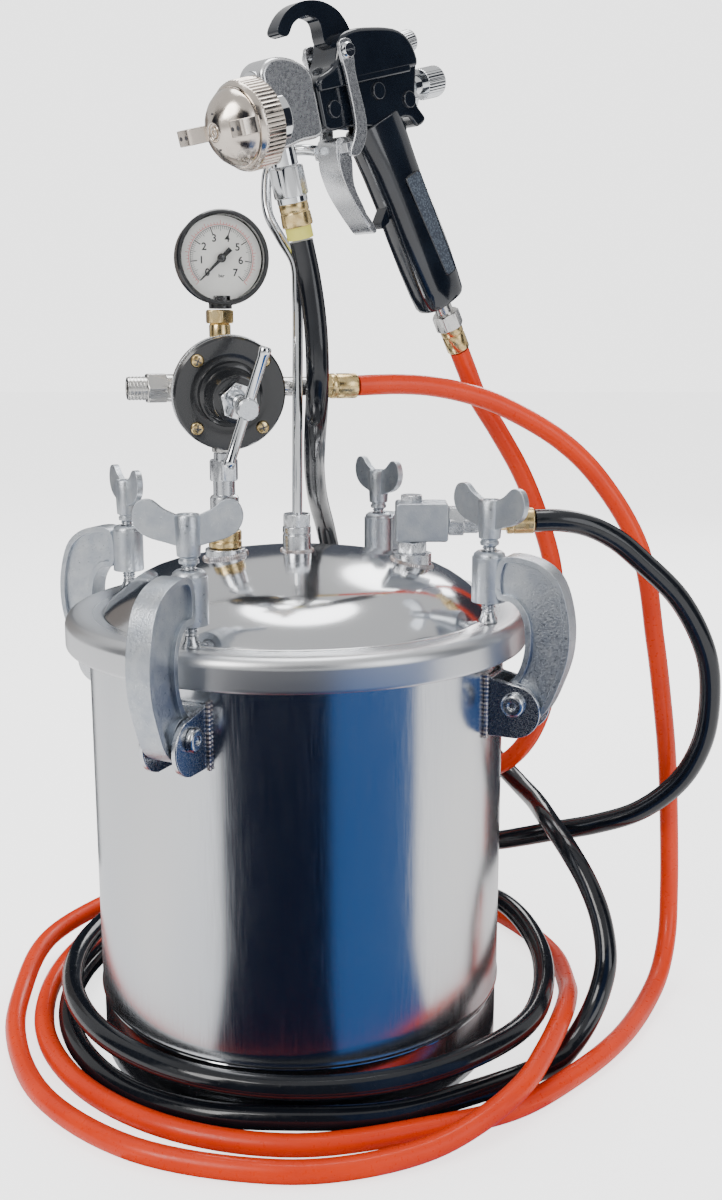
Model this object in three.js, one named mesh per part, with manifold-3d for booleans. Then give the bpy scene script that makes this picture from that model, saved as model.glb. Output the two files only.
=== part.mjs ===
// Paint pressure pot with its regulator, gauge, clamps, hoses and spray gun.
// Millimetres, +Z up. The origin is on the floor, on the axis of the pot; -Y is the front.
import * as THREE from "three";
import { mergeVertices } from "three/addons/utils/BufferGeometryUtils.js";
import Module from "manifold-3d";

const wasm = await Module();
wasm.setup();

// ---------------------------------------------------------------- driving dimensions
const GAP = 0.3; // running gap between neighbours
const ROUND = 40; // segments of the large round pieces
const DISC_SIDES = 28; // segments of the regulator and gauge housings
const FINE = 12; // segments of the fittings
const COARSE = 8; // segments of small pins and screws

const POT = { radius: 120, wall: 1.6, base: 36, rim: 258, rimRadius: 126.5 };
const BASE_RING = { outer: 119.2, inner: 114.8 };
const LID = { apex: 295, crown: 312, knuckle: 80, knuckleDrop: 0.01233, edge: 110, seat: 262.5,
  band: 133, bandBottom: 245.4, wall: 3 };
const GASKET = { inner: 119.5, outer: 126.3 };

const CLAMP = { angles: [-114.5, -24.5, 65.5, 155.5],
  names: ["front_left", "front_right", "back_right", "back_left"], screwRadius: 117,
  pivot: [136, 221], width: 14, boss: [274.5, 299.5], bossRadius: 9.3, screw: 3.9, bore: 4.4 };
const WING_TURN = [0, -52, -60, -62]; // where each wing screw was left, about +Z from +X

const PIPE = { x: -41, y: -4, yaw: 18, tilt: 8, port: 388 }; // the regulator's vertical pipe
const DISC = { radius: 31.3, face: 22 }; // regulator diaphragm housing
const GAUGE = { height: 458, radius: 25.6, depth: 16, back: 5 };
const OUTLET = { x: 66.5, height: 312 };
const HOOK_ROD_RADIUS = 2.9;

const GUN = { at: [11.5, -11.2, 534.6], azimuth: 222, dip: 15.5, gripRake: 14.5 };
const TRIGGER_PIVOT = [-18, 25];
const COIL_STEP = 22; // degrees between the route points of a coil
const AIR_HOSE = { diameter: 12, sides: 8, steps: 92 };
const FLUID_HOSE = { diameter: 13, sides: 8, steps: 92 };

// ---------------------------------------------------------------- colours
const finish = (color, metalness, roughness) => ({ color, metalness, roughness });
const STEEL = finish(0xb9bdc0, 1, 0.3);
const CASTING = finish(0xb4bbc0, 1, 0.45);
const CHROME = finish(0xdfe4e8, 1, 0.1);
const NICKEL = finish(0xcdbfb2, 1, 0.25);
const BRASS = finish(0xc39a4a, 1, 0.3);
const BLACK = finish(0x14161a, 0.1, 0.35);
const RUBBER = finish(0x1b1c1e, 0, 0.7);
const WHITE = finish(0xf2f2ee, 0, 0.6);
const GLASS = finish(0xe8f0f2, 0, 0.05);
const ORANGE = finish(0xff4a12, 0, 0.4);
const HOSE_BLACK = finish(0x17191d, 0, 0.35);

// ---------------------------------------------------------------- solids
// A closed three.js geometry as a solid, turned right side out.
function solid(geometry, matrix) {
  const bare = geometry.clone();
  if (matrix) bare.applyMatrix4(matrix);
  bare.deleteAttribute("normal");
  bare.deleteAttribute("uv");
  const merged = mergeVertices(bare, 1e-4);
  const triVerts = new Uint32Array(merged.index.array);
  const build = () => new wasm.Manifold(
    new wasm.Mesh({ numProp: 3, vertProperties: merged.attributes.position.array, triVerts }));
  const made = build();
  if (made.volume() >= 0) return made;
  for (let i = 0; i < triVerts.length; i += 3) {
    [triVerts[i + 1], triVerts[i + 2]] = [triVerts[i + 2], triVerts[i + 1]];
  }
  return build();
}

function geometryOf(shape) {
  const mesh = shape.getMesh();
  const geometry = new THREE.BufferGeometry();
  const points = new Float32Array(mesh.numVert * 3);
  for (let i = 0; i < mesh.numVert; i++) {
    points.set(mesh.vertProperties.subarray(i * mesh.numProp, i * mesh.numProp + 3), i * 3);
  }
  geometry.setAttribute("position", new THREE.BufferAttribute(points, 3));
  geometry.setIndex(new THREE.BufferAttribute(mesh.triVerts, 1));
  geometry.computeVertexNormals();
  return geometry;
}

function piece(name, shape, look) {
  const material = new THREE.MeshStandardMaterial({ ...look, flatShading: true });
  const mesh = new THREE.Mesh(geometryOf(shape), material);
  mesh.name = name;
  return mesh;
}

const join = (...shapes) => shapes.reduce((all, one) => all.add(one));
const cut = (from, ...tools) => tools.reduce((left, tool) => left.subtract(tool), from);
const move = (x, y, z) => new THREE.Matrix4().makeTranslation(x, y, z);
const degrees = THREE.MathUtils.degToRad;

// A matrix that stands local +Z along `direction` with its foot at `at`.
function aim(at, direction) {
  const turn = new THREE.Quaternion().setFromUnitVectors(
    new THREE.Vector3(0, 0, 1), new THREE.Vector3(...direction).normalize());
  return new THREE.Matrix4().compose(new THREE.Vector3(...at), turn, new THREE.Vector3(1, 1, 1));
}

// A solid of revolution about +Z from [radius, height] points.
function turned(profile, segments, matrix) {
  const points = profile.map(([radius, height]) => new THREE.Vector2(radius, height));
  const lathe = new THREE.LatheGeometry(points, segments).rotateX(Math.PI / 2);
  return solid(lathe, matrix);
}

// Cylinder or cone from the foot `at` along `direction`.
function rod(radius, length, segments, at = [0, 0, 0], direction = [0, 0, 1], topRadius = radius) {
  const cylinder = new THREE.CylinderGeometry(topRadius, radius, length, segments);
  cylinder.rotateX(Math.PI / 2).translate(0, 0, length / 2);
  return solid(cylinder, aim(at, direction));
}

const hexNut = (acrossFlats, length, at, direction) =>
  rod(acrossFlats / Math.sqrt(3), length, 6, at, direction);

function box(width, depth, height, x, y, z) {
  return solid(new THREE.BoxGeometry(width, depth, height), move(x, y, z));
}

// A flat outline in the X-Z plane, `thickness` wide and centred on y.
function plate(outline, thickness, y = 0) {
  const size = { depth: thickness, bevelEnabled: false, curveSegments: 6 };
  const slab = new THREE.ExtrudeGeometry(outline, size);
  slab.rotateX(Math.PI / 2).translate(0, y + thickness / 2, 0);
  return solid(slab);
}

// A closed outline drawn smoothly through its points.
function smoothOutline(points, divisions) {
  const curve = new THREE.CatmullRomCurve3(
    points.map(([x, z]) => new THREE.Vector3(x, z, 0)), true, "centripetal");
  const ring = curve.getPoints(divisions).slice(0, -1);
  return new THREE.Shape(ring.map((p) => new THREE.Vector2(p.x, p.y)));
}

const polygon = (points) => new THREE.Shape(points.map(([x, z]) => new THREE.Vector2(x, z)));

// A round bar along a curve through the points.
function bar(points, radius, steps, sides) {
  const curve = new THREE.CatmullRomCurve3(
    points.map((p) => new THREE.Vector3(...p)), false, "centripetal");
  const section = new THREE.Shape();
  for (let i = 0; i < sides; i++) {
    const angle = (2 * Math.PI * i) / sides;
    const place = [radius * Math.cos(angle), radius * Math.sin(angle)];
    if (i === 0) section.moveTo(...place);
    else section.lineTo(...place);
  }
  return solid(new THREE.ExtrudeGeometry(section, { steps, extrudePath: curve, curveSegments: 1 }));
}

// ---------------------------------------------------------------- pot and lid
const domeHeight = (r) =>
  LID.apex - (r * r) / (2 * LID.crown) - LID.knuckleDrop * Math.max(0, r - LID.knuckle) ** 2;

const domeArc = (offset, stations) => stations.map((r) => [r, domeHeight(r) + offset]);

function potShell() {
  const inner = POT.radius - POT.wall;
  return turned([
    [0, POT.base], [118.8, POT.base], [120.6, POT.base + 0.8], [120.6, POT.base + 2.4],
    [POT.radius, POT.base + 3.4], [POT.radius, POT.rim - 8], [POT.rimRadius, POT.rim - 4.5],
    [POT.rimRadius, POT.rim], [inner, POT.rim], [inner, POT.base + 5], [inner - 3, POT.base + 1.8],
    [0, POT.base + 1.8],
  ], ROUND);
}

function baseRing() {
  const { outer, inner } = BASE_RING;
  const top = POT.base - GAP;
  return turned([
    [inner, 0], [outer, 0], [outer, top], [outer - 2, top], [outer - 2, 5], [inner, 4], [inner, 0],
  ], ROUND);
}

function lid() {
  const { band, bandBottom, seat, wall, edge } = LID;
  const stations = [0, 30, 58, 80, 98, edge];
  const inside = band - wall;
  const profile = [
    ...domeArc(0, stations), [edge + 1.2, seat], [122.6, seat], [125, seat + 0.6], [128.4, seat - 0.1],
    [131.4, seat - 2.4], [band, seat - 7], [band, bandBottom], [inside, bandBottom],
    [inside, seat - wall + 0.8], [edge - 2, seat - wall + 0.8], ...domeArc(-wall, [0, 58, 98]).reverse(),
  ];
  const shell = turned(profile, ROUND);
  return cut(shell, rod(9.6, 60, FINE, [PIPE.x, PIPE.y, 250]), rod(7.6, 60, FINE, [OUTLET.x, 0, 250]),
    rod(6.6, 60, FINE, [0, 0, 250]));
}

// A fitting's foot, cut to sit on the dome with a gap.
function onDome(shape) {
  const stations = [0, 30, 58, 80, 98, LID.edge];
  const under = turned([[0, 200], [LID.edge, 200], ...domeArc(GAP, stations).reverse()], ROUND);
  return cut(shape, under);
}

function gasket() {
  const low = POT.rim + GAP;
  const high = LID.seat - LID.wall + 0.8 - GAP;
  const { inner, outer } = GASKET;
  return turned([[inner, low], [outer, low], [outer, high], [inner, high], [inner, low]], ROUND);
}

function potGroup() {
  const group = new THREE.Group();
  group.add(piece("pot_shell", potShell(), STEEL));
  group.add(piece("base_ring", baseRing(), STEEL));
  group.add(piece("lid", lid(), STEEL));
  group.add(piece("lid_gasket", gasket(), RUBBER));
  return group;
}

// ---------------------------------------------------------------- clamps
// Each clamp is built at angle 0, with X outwards and Y along the rim.
function clampBracket() {
  const [px, pz] = CLAMP.pivot;
  const root = POT.radius + 0.9;
  const ear = () => {
    const outline = new THREE.Shape();
    outline.moveTo(root, pz - 19);
    outline.lineTo(px + 2, pz - 19);
    outline.absarc(px, pz - 4, 14.8, -Math.PI / 2 + 0.1, Math.PI / 2, false);
    outline.lineTo(root, pz + 14);
    return outline;
  };
  const half = CLAMP.width / 2 + 2.4;
  const hole = rod(4.9, 60, FINE, [px, -30, pz], [0, 1, 0]);
  const back = box(2.6, 2 * half, 33, root + 1.3, 0, pz - 2.5);
  return cut(join(plate(ear(), 3, half), plate(ear(), 3, -half), back), hole);
}

function clampPin() {
  const [px, pz] = CLAMP.pivot;
  const reach = CLAMP.width / 2 + 2.4 + 1.5 + GAP;
  return join(
    rod(4.4, 2 * reach + 2, COARSE, [px, -reach - 1, pz], [0, 1, 0]),
    rod(6.6, 3.4, FINE, [px, reach, pz], [0, 1, 0], 5.6),
    rod(6.6, 3.4, FINE, [px, -reach, pz], [0, -1, 0], 5.6));
}

function clampArm() {
  const [px, pz] = CLAMP.pivot;
  const outline = smoothOutline([
    [126, 299.5], [143, 299.7], [156.5, 291], [163.6, 272], [164.4, 251], [159.6, 233], [150.5, 215],
    [137, 209.2], [126.4, 214], [126, 226], [133.6, 233], [138, 241], [140.4, 254], [138.6, 268],
    [132.5, 276], [124, 278],
  ], 30);
  const [low, high] = CLAMP.boss;
  const boss = join(
    rod(CLAMP.bossRadius, high - low, FINE, [CLAMP.screwRadius, 0, low]),
    rod(CLAMP.bossRadius - 0.6, 3, FINE, [CLAMP.screwRadius, 0, high], [0, 0, 1], 6.4));
  const bore = rod(CLAMP.bore, 60, COARSE, [CLAMP.screwRadius, 0, low - 10]);
  const eye = rod(4.9, 60, COARSE, [px, -30, pz], [0, 1, 0]);
  return cut(join(plate(outline, CLAMP.width), boss), bore, eye);
}

function clampFoot() {
  const { screwRadius } = CLAMP;
  const seat = LID.seat + GAP;
  return turned([
    [0, seat], [5.3, seat], [5.3, seat + 1.6], [3.6, seat + 4.6], [3.6, seat + 6.2], [0, seat + 6.2],
  ], FINE, move(screwRadius, 0, 0));
}

function wingScrew(turn) {
  const low = LID.seat + GAP + 6.2 + GAP;
  const hub = join(
    rod(CLAMP.screw, 52, COARSE, [0, 0, low]),
    rod(5.2, 2.2, FINE, [0, 0, 305.6]),
    rod(5.9, 21, FINE, [0, 0, 309], [0, 0, 1], 6.7));
  const wing = smoothOutline([
    [3, 315], [12, 316.5], [21, 319.5], [26, 324], [27.4, 330.5], [24.5, 336.6], [18.5, 337.6],
    [12, 333], [3, 327.5],
  ], 14);
  const blade = plate(wing, 3.8);
  const other = blade.rotate([0, 0, 180]);
  return join(hub, blade, other).rotate([0, 0, turn]).translate([CLAMP.screwRadius, 0, 0]);
}

function clampGroup(index) {
  const group = new THREE.Group();
  group.rotation.z = degrees(CLAMP.angles[index]);
  const label = CLAMP.names[index];
  group.add(piece(`clamp_bracket_${label}`, clampBracket(), STEEL));
  group.add(piece(`clamp_pin_${label}`, clampPin(), STEEL));
  group.add(piece(`clamp_arm_${label}`, clampArm(), CASTING));
  group.add(piece(`clamp_foot_${label}`, clampFoot(), STEEL));
  group.add(piece(`wing_screw_${label}`, wingScrew(WING_TURN[index] - CLAMP.angles[index]), CASTING));
  return group;
}

// ---------------------------------------------------------------- regulator and gauge
// The regulator's own frame: origin on the pipe at port height, -Y out of the face.
const T_BAR_TURN = 73; // degrees from level, where the T-bar was left
const FACE = [0, -Math.cos(degrees(PIPE.tilt)), -Math.sin(degrees(PIPE.tilt))];
const along = (distance, from = [0, 0, 0]) => from.map((v, i) => v + FACE[i] * distance);

function regulatorPipe(group) {
  group.add(piece("regulator_boss", onDome(rod(11.6, 14.8, FINE, [PIPE.x, PIPE.y, 282])), STEEL));
  const at = (height) => [PIPE.x, PIPE.y, height];
  const nipple = join(
    rod(9.5, 10, FINE, at(297.1)),
    rod(6, 6, FINE, at(302)));
  group.add(piece("regulator_nipple", nipple, BRASS));
  const union = join(
    rod(8.2, 18.6, FINE, at(308.4)),
    rod(6.2, 9.6, FINE, at(327)),
    hexNut(15.2, 12, at(335.6)),
    rod(5.6, 4, FINE, at(347.4)));
  group.add(piece("regulator_union", union, STEEL));
}

function regulatorGroup() {
  const group = new THREE.Group();
  group.position.set(PIPE.x, PIPE.y, PIPE.port);
  group.rotation.z = degrees(PIPE.yaw);
  const bolt = 26; // bolt circle of the bonnet screws
  const body = cut(join(
    rod(10, 46, FINE, [0, 0, -23]),
    rod(6.4, 36.2, FINE, [0, 0, -36.2]),
    rod(8, 46, FINE, [-23, 0, 0], [1, 0, 0]),
    rod(5.4, 31, FINE, [22, 0, 0], [1, 0, 0]),
    rod(11, 13, FINE, [0, 0, 0], FACE, 14),
    rod(DISC.radius - 0.6, 4.6, DISC_SIDES, along(8.4), FACE),
  ), rod(26, 2, DISC_SIDES, along(12), FACE));
  group.add(piece("regulator_body", body, STEEL));
  const diaphragm = rod(DISC.radius - 3, 1.2, DISC_SIDES, along(13 + GAP), FACE);
  group.add(piece("diaphragm", diaphragm, RUBBER));
  const screws = [45, 135, 225, 315].map((angle) => {
    const [x, up] = [bolt * Math.cos(degrees(angle)), bolt * Math.sin(degrees(angle))];
    return rod(3, 1.6, COARSE, along(DISC.face - 0.4, [x, FACE[2] * up, -FACE[1] * up]), FACE);
  });
  const bonnet = cut(join(
    rod(DISC.radius, DISC.face - 14.8, DISC_SIDES, along(14.8), FACE),
    rod(17.5, 3, FINE, along(DISC.face - 0.5), FACE, 16.6),
    rod(15.6, 17, FINE, along(DISC.face), FACE, 12.6),
    ...screws,
  ), rod(10.6, 22, FINE, along(14), FACE), rod(4.5, 30, COARSE, along(20), FACE));
  group.add(piece("regulator_bonnet", bonnet, BLACK));
  const sleeve = [[5.6, 0], [9.2, 0], [9.2, 12.5], [5.6, 12.5], [5.6, 0]];
  const spring = turned(sleeve, FINE, aim(along(15), FACE));
  group.add(piece("adjusting_spring", spring, STEEL));
  group.add(piece("spring_button", rod(9.6, 2.6, FINE, along(27.9), FACE), BRASS));
  const crossHole = rod(3.15, 40, COARSE, along(61, [-20, 0, 0]), [1, 0, 0]);
  const screw = join(rod(4, 35, COARSE, along(30.8), FACE), rod(5.8, 10, FINE, along(56), FACE));
  group.add(piece("regulator_screw", turnAboutFace(cut(screw, crossHole), T_BAR_TURN), STEEL));
  const nutBore = rod(4.4, 20, COARSE, along(34), FACE);
  group.add(piece("lock_nut", cut(hexNut(18.5, 6, along(39.4), FACE), nutBore), STEEL));
  const handle = join(
    rod(2.85, 62, COARSE, along(61, [-31, 0, 0]), [1, 0, 0]),
    rod(3.3, 5, COARSE, along(61, [-33, 0, 0]), [1, 0, 0]),
    rod(3.3, 5, COARSE, along(61, [28, 0, 0]), [1, 0, 0]));
  group.add(piece("t_bar", turnAboutFace(handle, T_BAR_TURN), CHROME));
  group.add(piece("air_inlet_nipple", join(
    rod(7.6, 8.6, FINE, [-23.3, 0, 0], [-1, 0, 0]),
    hexNut(15.5, 11, [-31.6, 0, 0], [-1, 0, 0]),
    rod(6.2, 10.6, FINE, [-42.5, 0, 0], [-1, 0, 0], 5.9),
  ), STEEL));
  group.add(piece("air_outlet_fitting", join(
    hexNut(13, 10, [53.4, 0, 0], [1, 0, 0]),
    rod(7.2, 16, FINE, [63, 0, 0], [1, 0, 0]),
  ), BRASS));
  return group;
}

// Turns a shape about the regulator's face axis, so the T-bar stands where it was left.
function turnAboutFace(shape, angle) {
  const axis = new THREE.Vector3(...FACE);
  const geometry = geometryOf(shape);
  geometry.applyQuaternion(new THREE.Quaternion().setFromAxisAngle(axis, degrees(angle)));
  return solid(geometry);
}

function gaugeGroup() {
  const group = new THREE.Group();
  group.position.set(PIPE.x, PIPE.y, GAUGE.height);
  group.rotation.z = degrees(PIPE.yaw);
  const front = [0, -1, 0];
  const from = (depth) => [0, GAUGE.back - depth, 0];
  const { depth, radius } = GAUGE;
  const shell = rod(radius - 1, depth - 3, DISC_SIDES, from(0), front);
  const rim = rod(radius, 3.4, DISC_SIDES, from(depth - 3.2), front);
  const neck = rod(6.4, 5, FINE, [0, -2.6, -radius - 1.4]);
  const inside = rod(23, 30, DISC_SIDES, from(2), front);
  group.add(piece("gauge_case", cut(join(shell, rim, neck), inside), BLACK));
  group.add(piece("gauge_dial", rod(22.6, 1, DISC_SIDES, from(8.4), front), WHITE));
  group.add(piece("gauge_lens", rod(22.6, 1.2, DISC_SIDES, from(13.4), front), GLASS));
  const restAngle = 225; // degrees about the dial, from its right
  const pointer = polygon([[-7, -1.3], [-7, 1.3], [0, 0.9], [17, 0.35], [17, -0.35], [0, -0.9]]);
  const needle = join(plate(pointer, 0.6), rod(2.4, 1.6, COARSE, [0, 0.8, 0], front));
  const placed = needle.rotate([0, -restAngle, 0]).translate(from(11.2));
  group.add(piece("gauge_needle", placed, BLACK));
  const stem = join(
    hexNut(14, 7.4, [0, -2.6, -34.9]),
    rod(6, 8, FINE, [0, -2.6, -42.7]));
  group.add(piece("gauge_stem", stem, BRASS));
  return group;
}

// ---------------------------------------------------------------- lid fittings
function lidFittings() {
  const group = new THREE.Group();
  const { x, height } = OUTLET;
  const foot = onDome(join(
    rod(11.3, 293.4 - 276, FINE, [x, 0, 276]),
    hexNut(16.2, 7.2, [x, 0, 293.2])));
  group.add(piece("outlet_boss", foot, STEEL));
  const tube = join(rod(5, 234, FINE, [x, 0, 52]), rod(6.2, 8, FINE, [x, 0, 270.6]));
  group.add(piece("pickup_tube", tube, STEEL));
  group.add(piece("outlet_block", box(30, 22, 22, x + 5.3, 0, height), CASTING));
  const axis = [1, 0, 0];
  const barb = join(
    hexNut(16, 9, [87.1, 0, height], axis),
    hexNut(13.5, 9, [95.5, 0, height], axis),
    rod(5.6, 18, FINE, [104, 0, height], axis),
    rod(7.8, 15.6, FINE, [121, 0, height], axis, 7.4));
  group.add(piece("outlet_fitting", barb, BRASS));
  const collar = onDome(cut(join(
    rod(8.2, 22.6, FINE, [0, 0, 286.6]),
    hexNut(15, 7.4, [0, 0, 308.8]),
  ), rod(3.3, 60, COARSE, [0, 0, 294])));
  group.add(piece("rod_collar", collar, STEEL));
  const path = [
    [0, 0, 295], [0.6, 0, 340], [1.2, 0, 390], [1.6, 0, 438], [0.4, 1, 456], [-7, 3, 469], [-14, 6, 482],
    [-15.6, 9, 496], [-13.4, 9.4, 508], [-5, 5, 514.5], [5, 0, 515.6], [13, -3.4, 514.6],
  ];
  group.add(piece("hook_rod", bar(path, HOOK_ROD_RADIUS, 36, 8), CHROME));
  return group;
}

// ---------------------------------------------------------------- spray gun
// The gun's own frame: X along the barrel towards the nozzle, Z up, Y towards the gun's left.
function gunFrame() {
  const azimuth = degrees(GUN.azimuth);
  const dip = degrees(GUN.dip);
  const forward = new THREE.Vector3(
    Math.cos(azimuth) * Math.cos(dip), Math.sin(azimuth) * Math.cos(dip), -Math.sin(dip));
  const up = new THREE.Vector3(
    Math.cos(azimuth) * Math.sin(dip), Math.sin(azimuth) * Math.sin(dip), Math.cos(dip));
  const side = new THREE.Vector3().crossVectors(up, forward);
  return new THREE.Matrix4().makeBasis(forward, side, up).setPosition(...GUN.at);
}

const GRIP_TOP = [-45, -30];
const gripAxis = [-Math.sin(degrees(GUN.gripRake)), 0, -Math.cos(degrees(GUN.gripRake))];
const onGrip = (s) => [GRIP_TOP[0] + gripAxis[0] * s, 0, GRIP_TOP[1] + gripAxis[2] * s];

function gunBody() {
  const casting = smoothOutline([
    [3, -10], [3, 13], [-12, 20], [-20, 33], [-44, 34], [-66, 28], [-73, 14], [-68, -8], [-73, -18],
    [-66, -21], [-60, -15], [-40, -17], [-20, -13],
  ], 28);
  const hook = smoothOutline([
    [-33, 30], [-29, 43], [-18, 50.6], [-2, 52.4], [10, 48], [17, 40], [11, 37.5], [5, 43], [-4, 45.4],
    [-12, 42], [-14, 30],
  ], 24);
  const grip = solid(new THREE.CylinderGeometry(12.6, 15.2, 112, 14).rotateX(Math.PI / 2),
    aim(onGrip(38), gripAxis).multiply(new THREE.Matrix4().makeScale(1.32, 0.95, 1)));
  const prong = plate(polygon([[-38, -58], [-36, -67], [-29, -70], [-29, -66.5], [-34, -61]]), 8);
  const bore = rod(2.6, 160, COARSE, [-75, 0, 0], [1, 0, 0]);
  const face = box(60, 60, 60, 33, 0, 0);
  return cut(join(cut(plate(casting, 24), face), plate(hook, 9), grip, prong), bore);
}

function gunHead() {
  const block = smoothOutline([
    [4, -12], [4, 17], [14, 26], [30, 28.5], [38, 22], [38, -14], [20, -14],
  ], 26);
  const ends = [box(20, 80, 80, -6.4, 0, 0), box(20, 80, 80, 48.1, 0, 0)];
  const shape = join(
    cut(plate(block, 20), ...ends),
    rod(14.5, 12, FINE, [26, 0, 0], [1, 0, 0]),
    rod(17.5, 14.6, FINE, [37.6, 0, 0], [1, 0, 0]),
    rod(9, 12, FINE, [26, 0, 16], [1, 0, 0]),
    rod(7.2, 14, FINE, [27, 0, -10], [0, 0, -1]));
  return cut(shape, rod(2.6, 60, COARSE, [0, 0, 0], [1, 0, 0]));
}

function gunCap() {
  const cone = turned([
    [0, 52.6], [19.4, 52.6], [19.4, 56], [14, 62.5], [8, 66.5], [5, 68], [0, 68],
  ], FINE, new THREE.Matrix4().makeRotationY(Math.PI / 2));
  const horn = polygon([[9, 54], [24, 56], [29, 62], [28, 71], [17.5, 71], [12, 63]]);
  const horns = [1, -1].map((side) => {
    const slab = new THREE.ExtrudeGeometry(horn, { depth: 8, bevelEnabled: false });
    slab.translate(0, 0, -4);
    const place = new THREE.Matrix4().makeBasis(
      new THREE.Vector3(0, side, 0), new THREE.Vector3(1, 0, 0), new THREE.Vector3(0, 0, -side));
    return solid(slab, place);
  });
  return join(cone, ...horns);
}

function retainingRing() {
  return turned([
    [19.9, 38.4], [22.6, 38.4], [22.6, 51], [20.6, 53.4], [19.9, 53.4], [19.9, 38.4],
  ], DISC_SIDES, new THREE.Matrix4().makeRotationY(Math.PI / 2));
}

function triggerSolid() {
  const [px, pz] = TRIGGER_PIVOT;
  const strip = () => smoothOutline([
    [px - 4, pz + 5], [px + 4, pz + 5], [px + 3.4, pz - 12], [px + 4, -14], [-7, -26], [-13, -27],
    [-22, -16], [px - 3.6, pz - 12],
  ], 16);
  const lever = smoothOutline([
    [-14, -18], [-5.5, -17], [-3, -28], [-5, -42], [-11, -56], [-19, -70], [-21.5, -69], [-14.5, -55],
    [-9, -42], [-8, -30],
  ], 20);
  const hole = rod(2.6, 60, COARSE, [px, -30, pz], [0, 1, 0]);
  const reach = 14;
  const bridge = box(6, 2 * reach, 5, -9, 0, -22);
  const strips = [reach, -reach].map((y) => cut(plate(strip(), 2.2, y), hole));
  return join(...strips, bridge, plate(lever, 17));
}

function gunGroup() {
  const group = new THREE.Group();
  group.applyMatrix4(gunFrame());
  const [px, pz] = TRIGGER_PIVOT;
  const pivotScrew = join(
    rod(1.9, 31, COARSE, [px, -15.5, pz], [0, 1, 0]),
    rod(4.2, 2.4, FINE, [px, 15.4, pz], [0, 1, 0]),
    rod(4.2, 2.4, FINE, [px, -15.4, pz], [0, -1, 0]));
  group.add(piece("gun_body", join(gunBody(), pivotScrew), BLACK));
  group.add(piece("gun_head", gunHead(), CHROME));
  group.add(piece("retaining_ring", retainingRing(), NICKEL));
  group.add(piece("air_cap", gunCap(), NICKEL));
  group.add(piece("trigger", triggerSolid(), CHROME));
  group.add(piece("fluid_needle", rod(1.5, 118, 8, [-68, 0, 0], [1, 0, 0]), STEEL));
  const shank = rod(5.4, 8, FINE, [-82.5, 0, 0], [1, 0, 0]);
  group.add(piece("fluid_knob", join(shank, rod(8.6, 15, FINE, [-96.5, 0, 0], [1, 0, 0], 8)), CHROME));
  group.add(piece("pattern_knob", rod(6.2, 8, FINE, [-72.6, 0, 23], [-1, 0, 0.1]), CHROME));
  group.add(piece("gun_fluid_inlet", join(
    hexNut(16.4, 15.6, [27, 0, -24.4], [0, 0, -1]),
    rod(8.2, 3.2, FINE, [27, 0, -39.8], [0, 0, -1]),
    rod(8, 12.6, FINE, [27, 0, -42.8], [0, 0, -1], 8.4),
    rod(7.2, 7, FINE, [27, 0, -55], [0, 0, -1])), BRASS));
  group.add(piece("gun_air_inlet", join(
    rod(5.4, 9, FINE, onGrip(94.6), gripAxis),
    hexNut(15, 10, onGrip(101.4), gripAxis),
    rod(6.9, 15.6, FINE, onGrip(110.8), gripAxis)), BRASS));
  return group;
}

// ---------------------------------------------------------------- hoses
// Turns of hose lying about the pot: from one circle to another while the angle runs on.
function coil(start, end) {
  const points = [];
  const count = Math.max(1, Math.round(Math.abs(end.angle - start.angle) / COIL_STEP));
  for (let i = 0; i < count; i++) {
    const t = i / count;
    const mix = (key) => start[key] + (end[key] - start[key]) * t;
    const angle = degrees(mix("angle"));
    points.push([mix("x") + mix("r") * Math.cos(angle), mix("y") + mix("r") * Math.sin(angle), mix("z")]);
  }
  return points;
}

// A run of coils through several stations, each { angle, x, y, r, z }.
const coils = (stations) => stations.slice(1).flatMap((end, i) => coil(stations[i], end));

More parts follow.
